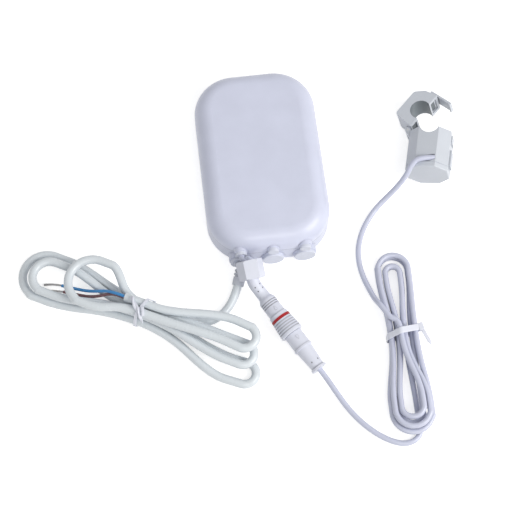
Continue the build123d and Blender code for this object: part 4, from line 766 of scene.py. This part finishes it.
class Assembly:
    """What every sub-assembly does with its pieces."""

    def dress(self, finish: Finish, *nodes: str) -> None:
        """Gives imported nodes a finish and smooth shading.

        Args:
            finish: The finish.
            nodes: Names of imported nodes.
        """
        for name in nodes:
            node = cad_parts[name]
            node.data.materials.clear()
            node.data.materials.append(finish.material())
            soften(node)
            LOG.info("node %s dressed as %s", name, finish.slot)

    def fit(self, piece: Piece, finish: Finish, *nodes: str, body: str = "monitor") -> Piece:
        """Gives a new piece its finish, its body and the nodes that it stands for.

        Args:
            piece: The new piece.
            finish: Its finish.
            nodes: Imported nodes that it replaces.
            body: The body that carries it.

        Returns:
            The same piece.
        """
        piece.data.materials.append(finish.material())
        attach(piece, body)
        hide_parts(*nodes)
        LOG.info("piece %s rides on %s and replaces %s", piece.name, body, ", ".join(nodes))
        return piece


@dataclass(frozen=True)
class WallBox(Assembly):
    """The box: two shells, seal, screws, and the circuit board with what stands on it."""

    def build(self) -> None:
        """Dresses the shells and everything inside them."""
        self.dress(COVER, "front_cover")
        self.dress(CASE, "back_case")
        self.dress(SEAL, "case_seal")
        self.dress(SCREW, "case_screws", "board_screws")
        self.dress(BOARD, "main_board")
        self.dress(MODULE, "power_module", "fuse", "metering_chip")
        self.dress(CAN, "filter_capacitors")
        self.dress(VARISTOR, "surge_varistor")
        self.dress(TERMINAL, "terminal_block")
        self.dress(RADIO, "wifi_module")
        self.dress(HEADER, "sensor_headers")
        self.dress(WIRE_BLUE, "inner_blue_wire")
        self.dress(WIRE_BROWN, "inner_brown_wire")
        self.dress(SENSOR, "inner_sensor_lead")


@dataclass(frozen=True)
class Ports(Assembly):
    """What closes the cable ports, and the ribbed boot of the mains lead."""

    route: Route = ((-24.5, -78.0, 9.5), (-24.5, -82.0, 9.5), (-29.5, -94.5, 6.0))
    ring: float = 4.8
    waist: float = 3.9
    sleeve: float = 4.7
    tip: float = 4.5
    ring_edges: tuple[float, ...] = (0.0, 1.5, 5.5, 7.0, 8.4, 9.9, 11.3)
    edge: float = 0.25
    grid: tuple[int, int] = (260, 56)

    def build(self) -> None:
        """Dresses the plugs and makes the boot."""
        self.dress(GLAND, "large_port_plugs", "small_port_plugs", "mains_gland", "ct_grommet")
        self.fit(self.boot(), BOOT, "mains_strain_relief")

    def boot(self) -> Piece:
        """Makes the boot: a stepped radius carried along a bend.

        The radius is the waist plus, at each ring, a step up and a step down, each a smooth ramp
        one edge wide; the last step up is the sleeve, which tapers to the tip.

        Returns:
            The boot.
        """
        rows, columns = self.grid
        path = even_line(self.route, rows)
        reach = reach_along(path)
        edges = np.array(self.ring_edges)
        steps = np.clip((reach[:, None] - edges[None]) / self.edge, 0, 1)
        signs = np.where(np.arange(len(edges)) % 2 == 0, 1.0, -1.0)
        radii = self.waist + (self.ring - self.waist) * (steps * signs).sum(axis=1)
        share = np.clip((reach - edges[-1]) / (reach[-1] - edges[-1]), 0, 1)
        radii -= (self.ring - self.sleeve + (self.sleeve - self.tip) * share) * steps[:, -1]
        radii[-1] -= self.edge
        radii[0] = self.ring - self.edge
        return skin("mains_boot", [carried(path, circle(radii, columns))])


@dataclass(frozen=True)
class Wire:
    """A wire beyond the sheath, in the hank's axes: its side, its route and its strands' route."""

    name: str
    finish: Finish
    side: int
    route: Route
    bare: Route

    def stripped(self) -> Array:
        """Where the wire is stripped, halfway between its route and that of its strands."""
        return (point(*self.route[-1]) + point(*self.bare[0])) / 2


@dataclass(frozen=True)
class MainsLead(Assembly):
    """The mains lead: free run, hank, tie, and the two wires with their stripped ends."""

    diameter: float = 6.7
    exit: Place = (-29.5, -94.5, 6.0)
    lean: Place = (-5.0, -12.5, -3.5)
    first_run: float = 8.886
    route: Route = ((-40.6, -113.4, 3.4), (-50.8, -119.4, 3.4), (-61.2, -120.0, 3.4))
    last_run: float = 11.5
    run_in: tuple[float, float] = (-22.0, -7.5)
    sheath_end: tuple[float, float] = (13.5, -2.4)
    wire: float = 2.4
    wire_spread: float = 1.45
    wire_first_run: float = 7.5
    wires: tuple[Wire, ...] = (
        Wire(
            "blue_wire", WIRE_BLUE, 1,
            ((29.5, -2.6, 17.0), (37.5, -0.6, 12.6), (45.5, 0.4, 8.4), (53.5, 0.7, 5.2),
             (62.8, 1.3, 3.4)),
            ((69.3, 1.9, 2.4), (75.0, 3.4, 1.7), (79.6, 5.6, 1.3)),
        ),
        Wire(
            "brown_wire", WIRE_BROWN, -1,
            ((27.5, -1.8, 13.8), (35.0, 1.6, 9.8), (43.0, 3.6, 6.2), (51.0, 4.2, 3.8),
             (59.5, 4.9, 2.6)),
            ((66.5, 6.3, 2.0), (74.0, 8.4, 1.5), (80.8, 11.2, 1.2)),
        ),
    )
    strand: float = 0.28
    strand_count: int = 6
    strand_ring: float = 0.56
    strand_lay: float = 7.0
    strand_spread: float = 0.45
    strand_grid: tuple[int, int] = (70, 10)
    band: Band = Band(gap=0.35, width=2.2, thickness=0.9, slant=-15.0)
    band_shift: float = -2.2
    twist_route: Route = (
        (8.6, -3.2, 23.4), (5.4, 0.2, 24.9), (0.4, 4.6, 24.9), (-3.6, 8.6, 22.2),
        (-6.6, 11.6, 17.6),
    )
    twist_radius: float = 2.1
    twist_lay: float = 9.5
    twist_swing: float = 0.32
    twist_taper: float = 0.6
    twist_blunt: int = 12
    twist_squares: tuple[float, float, float] = (1.02, 0.05, 1.0)
    twist_grid: tuple[int, int] = (160, 36)
    stub_route: Route = ((-2.8, 1.5, 24.2), (-4.2, 4.6, 24.3), (-5.6, 7.6, 22.6))
    stub_rows: int = 40
    hank: Hank = Hank(
        place=(-104.0, -107.0),
        turn=151.8,
        step=7.5,
        rise=7.2,
        lift=1.4,
        floor=3.4,
        strands=((-1, 0), (1, 0), (0, 0), (0.5, 1), (-0.5, 1), (0.6, 2), (-0.4, 2)),
        far=(Loop(80, -0.5, 18, 0, 0), Loop(76, 1, 12.5, 1, 1), Loop(42, -5, 18, 2.05, 2.1)),
        near=(
            Loop(90, 16, 8.5, 0, 0, 4), Loop(84, 4.5, 8.5, 1, 1), Loop(81, -6, 9, 2.1, 2.1, -4),
        ),
    )

    def build(self) -> None:
        """Makes the lead from the boot to its bare ends, and works out how long it is."""
        controls = self.controls()
        cord = spline("mains_cord", controls, self.diameter / 2)
        lead = self.fit(cord, MAINS, "mains_lead", "mains_hank")
        tie = self.fit(self.tie(), TIE, "mains_tie")
        wires = []
        for wire in self.wires:
            points = self.wire_controls(wire)
            cord = spline(wire.name, points, self.wire / 2)
            wires.append((self.fit(cord, wire.finish, "mains_" + wire.name), points))
        bare = self.fit(self.bare_ends(), COPPER, "mains_bare_ends")
        line_length(controls)
        for wire, points in wires:
            line_length(points)

    def sheath_tip(self) -> Array:
        """Where the sheath ends, in the hank's axes."""
        return point(*self.sheath_end, self.hank.waist()[-1, 2])

    def controls(self) -> Array:
        """Control points of the lead, from the boot through the hank to the sheath's end.

        Returns:
            Points of shape (count, 3), in the box's axes.
        """
        entry = point(*self.run_in, self.hank.floor)
        first = point(*self.exit) + unit(point(*self.lean)) * self.first_run
        tip = self.sheath_tip()
        eased = FORWARD * self.diameter
        wound = self.hank.controls(entry + eased, [(tip - eased, FORWARD)])
        inner = np.vstack([entry - FORWARD * self.last_run, entry, wound, tip])
        return np.vstack([point(*self.exit), first, self.route, self.hank.to_box(inner)])

    def wire_controls(self, wire: Wire) -> Array:
        """Control points of one wire, from the sheath's end to where it is stripped.

        Args:
            wire: The wire.

        Returns:
            Points of shape (count, 3), in the box's axes.
        """
        start = self.sheath_tip() + UP * wire.side * self.wire_spread
        first = start + FORWARD * self.wire_first_run
        return self.hank.to_box(np.vstack([start, first, wire.route, wire.stripped()]))

    def bare_ends(self) -> Piece:
        """Makes the twisted strands of both stripped ends.

        The strands wind round a middle one: centre = path + ring times the cosine and sine of the
        strand's angle plus a full turn for each lay; the ring opens with the cube of the share.

        Returns:
            One piece with all strands.
        """
        rows, columns = self.strand_grid
        round_strand = circle(np.full(rows, self.strand), columns)
        starts = np.arange(self.strand_count)[None] / self.strand_count
        grids = []
        for wire in self.wires:
            path = self.hank.to_box(even_line(np.vstack([wire.stripped(), wire.bare]), rows))
            reach = reach_along(path)[:, None]
            ring = self.strand_ring * (1 + self.strand_spread * (reach / reach[-1]) ** 3)
            turned = on_circle(2 * np.pi * (reach / self.strand_lay + starts))
            centres = carried(path, ring[..., None] * turned)
            lines = [centres[:, k] for k in range(self.strand_count)] + [path]
            grids += [carried(line, round_strand) for line in lines]
        return skin("bare_strands", grids)

    def tie(self) -> Piece:
        """Makes the wire tie: a band round the waist, its ends twisted together, and a stub.

        The twist's outline has two lobes: radius = mean plus swing times the cosine of twice the
        angle less a full turn for each lay, narrower towards its tip. Its ends are blunt: the
        root of full less a high power of the distance from its middle, within two limits.

        Returns:
            The tie.
        """
        band = self.hank.tied(self.band, self.diameter / 2)
        rows, columns = self.twist_grid
        path = even_line(self.twist_route, rows)
        reach = reach_along(path)[:, None]
        share = reach / reach[-1]
        around = all_round(columns)[None]
        swing = np.cos(2 * around - 2 * np.pi * reach / self.twist_lay)
        lobes = 1 - self.twist_swing + self.twist_swing * swing
        full, least, most = self.twist_squares
        ends = np.sqrt(np.clip(full - (2 * share - 1) ** self.twist_blunt, least, most))
        radii = self.twist_radius * lobes * ends * (1 - self.twist_taper * share**2)
        twist = carried(path, radii[..., None] * on_circle(around))
        bend = even_line(self.stub_route, self.stub_rows)
        stub = carried(bend, section(self.band.width, self.band.thickness))
        grids = (band + FORWARD * self.band_shift, twist, stub)
        return skin("mains_twist_tie", [self.hank.to_box(grid) for grid in grids])


@dataclass(frozen=True)
class Connector(Assembly):
    """The waterproof connector between box and sensor lead, with the loose nut round its tail."""

    def build(self) -> None:
        """Dresses both halves, the nuts, the ring, the boot and the stub of lead."""
        self.dress(SENSOR, "pigtail_lead")
        self.dress(NUT, "gland_nut", "coupling_nut")
        self.dress(CONNECTOR, "socket_half", "plug_half", "plug_boot")
        self.dress(RED, "sealing_ring")
        self.dress(BRASS, "contact_pins")


@dataclass(frozen=True)
class ClampPlace:
    """How the clamp lies on the floor: rolled about its y axis, turned about z and set in place."""

    place: Place = (140.9, 8.0, 3.111)
    turn: float = -15.7
    roll: float = 15.6

    def to_box(self, points: Array) -> Array:
        """Turns places of the clamp's axes into the box's.

        Args:
            points: Points of shape (count, 3), in the clamp's axes.

        Returns:
            The points in the box's axes.
        """
        a = math.radians(self.roll)
        roll = np.array([[math.cos(a), 0, math.sin(a)], [0, 1, 0], [-math.sin(a), 0, math.cos(a)]])
        return points @ roll @ spin(self.turn) + np.array(self.place)


@dataclass(frozen=True)
class SensorLead(Assembly):
    """The sensor lead: from the connector to its hank, its cable tie, and on to the clamp."""

    diameter: float = 4.3
    connector_start: Place = (-9.7, -110.3, 12.5)
    connector_heading: Place = (0.496, -0.8635, -0.0916)
    connector_end: float = 66.6
    first_run: float = 10.0
    route: Route = (
        (33.8, -187.2, 3.8), (40.4, -199.4, 2.2), (48.8, -211.2, 2.2), (58.4, -220.8, 2.2),
        (68.0, -227.4, 2.2), (76.9, -230.7, 2.2), (84.7, -229.9, 2.2),
    )
    last_run: float = 7.0
    run_in: tuple[float, float] = (-70.0, -4.6)
    out: Place = (14.5, 9.2, 13.2)
    out_heading: Place = (0.86, 0.5, -0.06)
    tail_first_run: float = 6.0
    tail_route: Route = (
        (72.4, -118.6, 8.2), (70.1, -109.2, 4.2), (67.3, -98.6, 2.2), (65.5, -86.4, 2.2),
        (66.7, -73.2, 2.2), (71.6, -60.2, 2.2), (79.0, -49.0, 2.2), (87.3, -40.6, 4.4),
        (95.8, -35.3, 9.6), (103.6, -31.2, 17.6), (110.0, -26.8, 26.0), (114.4, -20.6, 31.3),
    )
    clamp: ClampPlace = ClampPlace()
    lead_hole: Place = (2.6, -27.4, 29.5)
    lead_hole_heading: Place = (0.88, 0.22, -0.42)
    lead_approach: float = 8.0
    lead_depth: float = 4.5
    band: Band = Band(gap=0.4, width=4.8, thickness=1.1, slant=13.0)
    head_size: Place = (6.2, 4.2, 4.4)
    head_place: Place = (3.3, -14.8, 9.2)
    head_corner: float = 0.28
    head_grid: tuple[int, int] = (34, 48)
    tail_length: float = 16.0
    tail_width: float = 2.8
    tail_slant: float = 21.0
    tail_rows: int = 200
    rib_pitch: float = 0.8
    rib_swing: float = 0.14
    tip_width: tuple[float, float] = (5.0, 0.45)
    tip_depth: tuple[float, float] = (8.0, 0.3)
    hank: Hank = Hank(
        place=(88.3, -148.0),
        turn=88.2,
        step=5.0,
        rise=4.8,
        lift=1.6,
        floor=2.2,
        strands=(
            (-0.5, 0), (0.5, 0), (-1.6, 0), (1.6, 0), (-2.1, 1), (1.6, 1), (-0.5, 1), (0.5, 1),
            (0.2, 2),
        ),
        far=(
            Loop(50, 0, 5.7, 0.15, 0.15), Loop(52, 0, 11.5, 0.15, 0.15),
            Loop(52, -0.2, 11.5, 1.2, 1.2), Loop(49, 0.8, 5.5, 1.2, 1.2),
        ),
        near=(
            Loop(61, -0.1, 8, 1, 1), Loop(61, 0, 14.8, 1, 1),
            Loop(60, 0, 12.7, 2, 2.06), Loop(58, -0.1, 8, 2, 2.6),
        ),
    )

    def build(self) -> None:
        """Makes the lead from the connector to the clamp, and works out how long it is."""
        controls = self.controls()
        cord = spline("sensor_cord", controls, self.diameter / 2)
        lead = self.fit(cord, SENSOR, "ct_lead", "ct_hank", "ct_lead_tail")
        tie = self.fit(self.tie(), TIE, "ct_tie")
        line_length(controls)

    def controls(self) -> Array:
        """Control points of the lead, from the connector through the hank to the clamp.

        Returns:
            Points of shape (count, 3), in the box's axes.
        """
        ahead = unit(point(*self.connector_heading))
        start = point(*self.connector_start) + ahead * self.connector_end
        entry = point(*self.run_in, self.hank.floor)
        out, heading = point(*self.out), unit(point(*self.out_heading))
        leaving = out + heading * self.diameter
        past_tie = self.hank.waist()[-1] + FORWARD * self.band.width
        leave = [(past_tie, FORWARD), (out, heading)]
        wound = self.hank.controls(entry + FORWARD * self.diameter, leave)
        before = entry - FORWARD * self.last_run
        after = leaving + heading * self.tail_first_run
        inner = self.hank.to_box(np.vstack([before, entry, wound, leaving, after]))
        inward = unit(point(*self.lead_hole_heading))
        ends = point(*self.lead_hole) + np.outer([-self.lead_approach, self.lead_depth], inward)
        outer = start + ahead * self.first_run
        into = self.clamp.to_box(ends)
        return np.vstack([start, outer, self.route, inner, self.tail_route, into])

    def tie(self) -> Piece:
        """Makes the cable tie: a band, a lock with eased edges, and a tail with fine ribs.

        The lock is an ellipsoid squared up by signed powers of its cosines and sines. The tail is a
        strip whose thickness swings with the sine of the distance along it.

        Returns:
            The tie.
        """
        band = self.hank.tied(self.band, self.diameter / 2)
        rows, columns = self.head_grid
        rise = np.linspace(-np.pi / 2, np.pi / 2, rows)[1:-1, None]
        level = squared_up(on_circle(all_round(columns)), self.head_corner)
        flat, height = (squared_up(f(rise), self.head_corner) for f in (np.cos, np.sin))
        height = np.broadcast_to(height[..., None], (rows - 2, columns, 1))
        ball = np.concatenate([flat[..., None] * level, height], axis=-1)
        lock = self.turned(ball * np.array(self.head_size) / 2, self.band.slant)
        share = np.linspace(0, 1, self.tail_rows)
        path = np.outer(share, [-self.tail_length, 0, 0]) + UP * self.head_size[2] / 4
        ribs = np.sin(2 * np.pi * self.tail_length * share / self.rib_pitch)
        tips = (self.tip_width, self.tip_depth)
        width, depth = (np.clip((1 - share) * steep, least, 1) for steep, least in tips)
        depth = depth * (1 - self.rib_swing + self.rib_swing * ribs)
        strip = section(self.tail_width, self.band.thickness)
        outline = strip[None] * np.stack([width, depth], axis=-1)[:, None]
        tail = self.turned(carried(path, outline), self.tail_slant)
        return skin("sensor_cable_tie", [self.hank.to_box(grid) for grid in (band, lock, tail)])

    def turned(self, grid: Array, slant: float) -> Array:
        """Turns a grid about z and sets it at the lock's place."""
        return grid @ spin(slant) + np.array(self.head_place)


@dataclass(frozen=True)
class CurrentClamp(Assembly):
    """The split core clamp: case, cap, hinged jaw, cores, coil and hinge pin."""

    clamp: ClampPlace = ClampPlace()
    window: tuple[float, float] = (0.0, 3.0)
    hinge: tuple[float, float] = (-18.4, 1.4)
    opening: float = 57.0

    def bored(self, mould: str, centre: Array) -> BoreFinish:
        """The clamp's finish with a dark window.

        Args:
            mould: What the material's name ends with.
            centre: The window's centre, as x and y of the clamp's axes.

        Returns:
            The finish.
        """
        low, high = self.clamp.to_box(np.array([[*centre, 0.0], [*centre, 1.0]]))
        return BoreFinish(
            CLAMP.slot, CLAMP.tone, roughness=CLAMP.roughness, relief=CLAMP.relief, mould=mould,
            centre=tuple(low.tolist()), axis=tuple((high - low).tolist()),
        )

    def build(self) -> None:
        """Dresses the clamp's pieces; the jaw's window is turned with the jaw about its hinge."""
        window, hinge = point(*self.window), point(*self.hinge)
        self.dress(CLAMP, "clamp_end_cap")
        self.dress(self.bored("_case", window), "clamp_case")
        opened = hinge + (window - hinge) @ spin(self.opening)[:2, :2]
        self.dress(self.bored("_jaw", opened), "clamp_jaw")
        self.dress(FERRITE, "clamp_core_case", "clamp_core_jaw")
        self.dress(COIL, "clamp_coil")
        self.dress(SCREW, "clamp_hinge_pin")


@dataclass(frozen=True)
class Lamp:
    """A square soft lamp: its power in watts, its edge and place in metres, and a warm tone."""

    name: str
    power: float
    size: float
    place: Place
    tone: Place = (1.0, 0.985, 0.95)


@dataclass(frozen=True)
class Studio:
    """Floor, light and camera, in metres; the lens and its sensor are millimetres."""

    azimuth: float = -6.89
    elevation: float = 67.67
    distance: float = 1.031
    lens: float = 95.0
    sensor: float = 36.0
    far_clip: float = 50.0
    target: Place = (-0.0131, -0.0753, 0.0144)
    floor_half: float = 4.0
    floor_drop: float = 0.0002
    floor_tone: float = 0.8
    floor_glow: float = 0.6
    ambient: float = 0.5
    lamps: tuple[Lamp, ...] = (
        Lamp("key_softbox", 16.0, 0.9, (1.12, -0.7, 1.0)),
        Lamp("front_softbox", 3.0, 0.45, (0.05, -1.15, 1.25)),
    )

    def build(self) -> None:
        """Sets up the floor, the lights and the camera."""
        self.floor()
        self.world()
        for lamp in self.lamps:
            self.light(lamp)
        self.camera()
        bpy.context.scene.view_settings.view_transform = "Standard"

    def seen(self, nodes: Nodes, dark: float, bright: float) -> Socket:
        """A strength that differs where the camera, a reflection or clear glass looks.

        Args:
            nodes: The nodes to add to.
            dark: The strength for other light.
            bright: The strength for what is seen.

        Returns:
            The socket with the strength.
        """
        rays = nodes.tree.nodes.new("ShaderNodeLightPath").outputs
        looking = rays["Is Camera Ray"]
        for kind in ("Is Glossy Ray", "Is Transmission Ray"):
            either = {0: looking, 1: rays[kind]}
            looking = nodes.add("ShaderNodeMath", 0, either, operation="MAXIMUM")
        return nodes.spread(looking, dark, bright)

    def floor(self) -> None:
        """Makes the pale floor, which is white where no shadow falls."""
        side = self.floor_half * np.array([[-1, -1], [1, -1], [1, 1], [-1, 1]])
        mesh = bpy.data.meshes.new("floor")
        mesh.from_pydata(np.hstack([side, np.full((4, 1), -self.floor_drop)]), [], [(0, 1, 2, 3)])
        floor = in_scene("floor", mesh)
        paper = bpy.data.materials.new("floor_paper")
        paper.use_nodes = True
        nodes = Nodes(paper.node_tree)
        nodes.feed(nodes.tree.nodes["Principled BSDF"], {
            "Base Color": (self.floor_tone, self.floor_tone, self.floor_tone, 1.0),
            "Roughness": 1.0,
            "Specular IOR Level": 0.0,
            "Emission Color": WHITE,
            "Emission Strength": self.seen(nodes, 0.0, self.floor_glow),
        })
        mesh.materials.append(paper)

    def world(self) -> None:
        """Lights the scene evenly from all round, before a white backdrop."""
        world = bpy.data.worlds.new("studio")
        bpy.context.scene.world = world
        world.use_nodes = True
        nodes = Nodes(world.node_tree)
        glow = self.seen(nodes, self.ambient, 1.0)
        nodes.feed(nodes.tree.nodes["Background"], {"Color": WHITE, "Strength": glow})

    def light(self, lamp: Lamp) -> None:
        """Adds one square soft lamp that looks at the target.

        Args:
            lamp: The lamp.
        """
        data = bpy.data.lights.new(lamp.name, "AREA")
        data.energy = lamp.power
        data.size = lamp.size
        data.color = lamp.tone
        place = point(*lamp.place)
        back = unit(place - point(*self.target))
        right = unit(np.cross(UP, back))
        in_scene(lamp.name, data).matrix_world = self.standing(right, back, place)

    def standing(self, right: Array, back: Array, place: Array) -> Matrix:
        """The matrix of an object that looks against back.

        Args:
            right: The direction of its right side.
            back: The direction from what it looks at.
            place: Where it stands.

        Returns:
            The matrix.
        """
        whole = np.eye(4)
        whole[:3] = np.stack([right, np.cross(back, right), back, place], axis=-1)
        return Matrix(whole.tolist())

    def camera(self) -> None:
        """Sets the camera as the photograph was taken."""
        a, e = math.radians(self.azimuth), math.radians(self.elevation)
        ahead = point(-math.sin(a) * math.cos(e), math.cos(a) * math.cos(e), -math.sin(e))
        right = point(math.cos(a), math.sin(a), 0)
        lens = bpy.data.cameras.new("camera")
        lens.lens = self.lens
        lens.sensor_width = self.sensor
        lens.clip_end = self.far_clip
        camera = in_scene("camera", lens)
        place = point(*self.target) - ahead * self.distance
        camera.matrix_world = self.standing(right, -ahead, place)
        bpy.context.scene.camera = camera


def main() -> None:
    """Builds the sub-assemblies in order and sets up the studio."""
    logging.basicConfig(level=logging.INFO, format="%(name)s: %(message)s")
    for kind in (WallBox, Ports, MainsLead, Connector, SensorLead, CurrentClamp):
        kind().build()
        LOG.info("%s built", kind.__name__)
    Studio().build()
    bpy.context.view_layer.update()


if __name__ == "__main__":
    main()
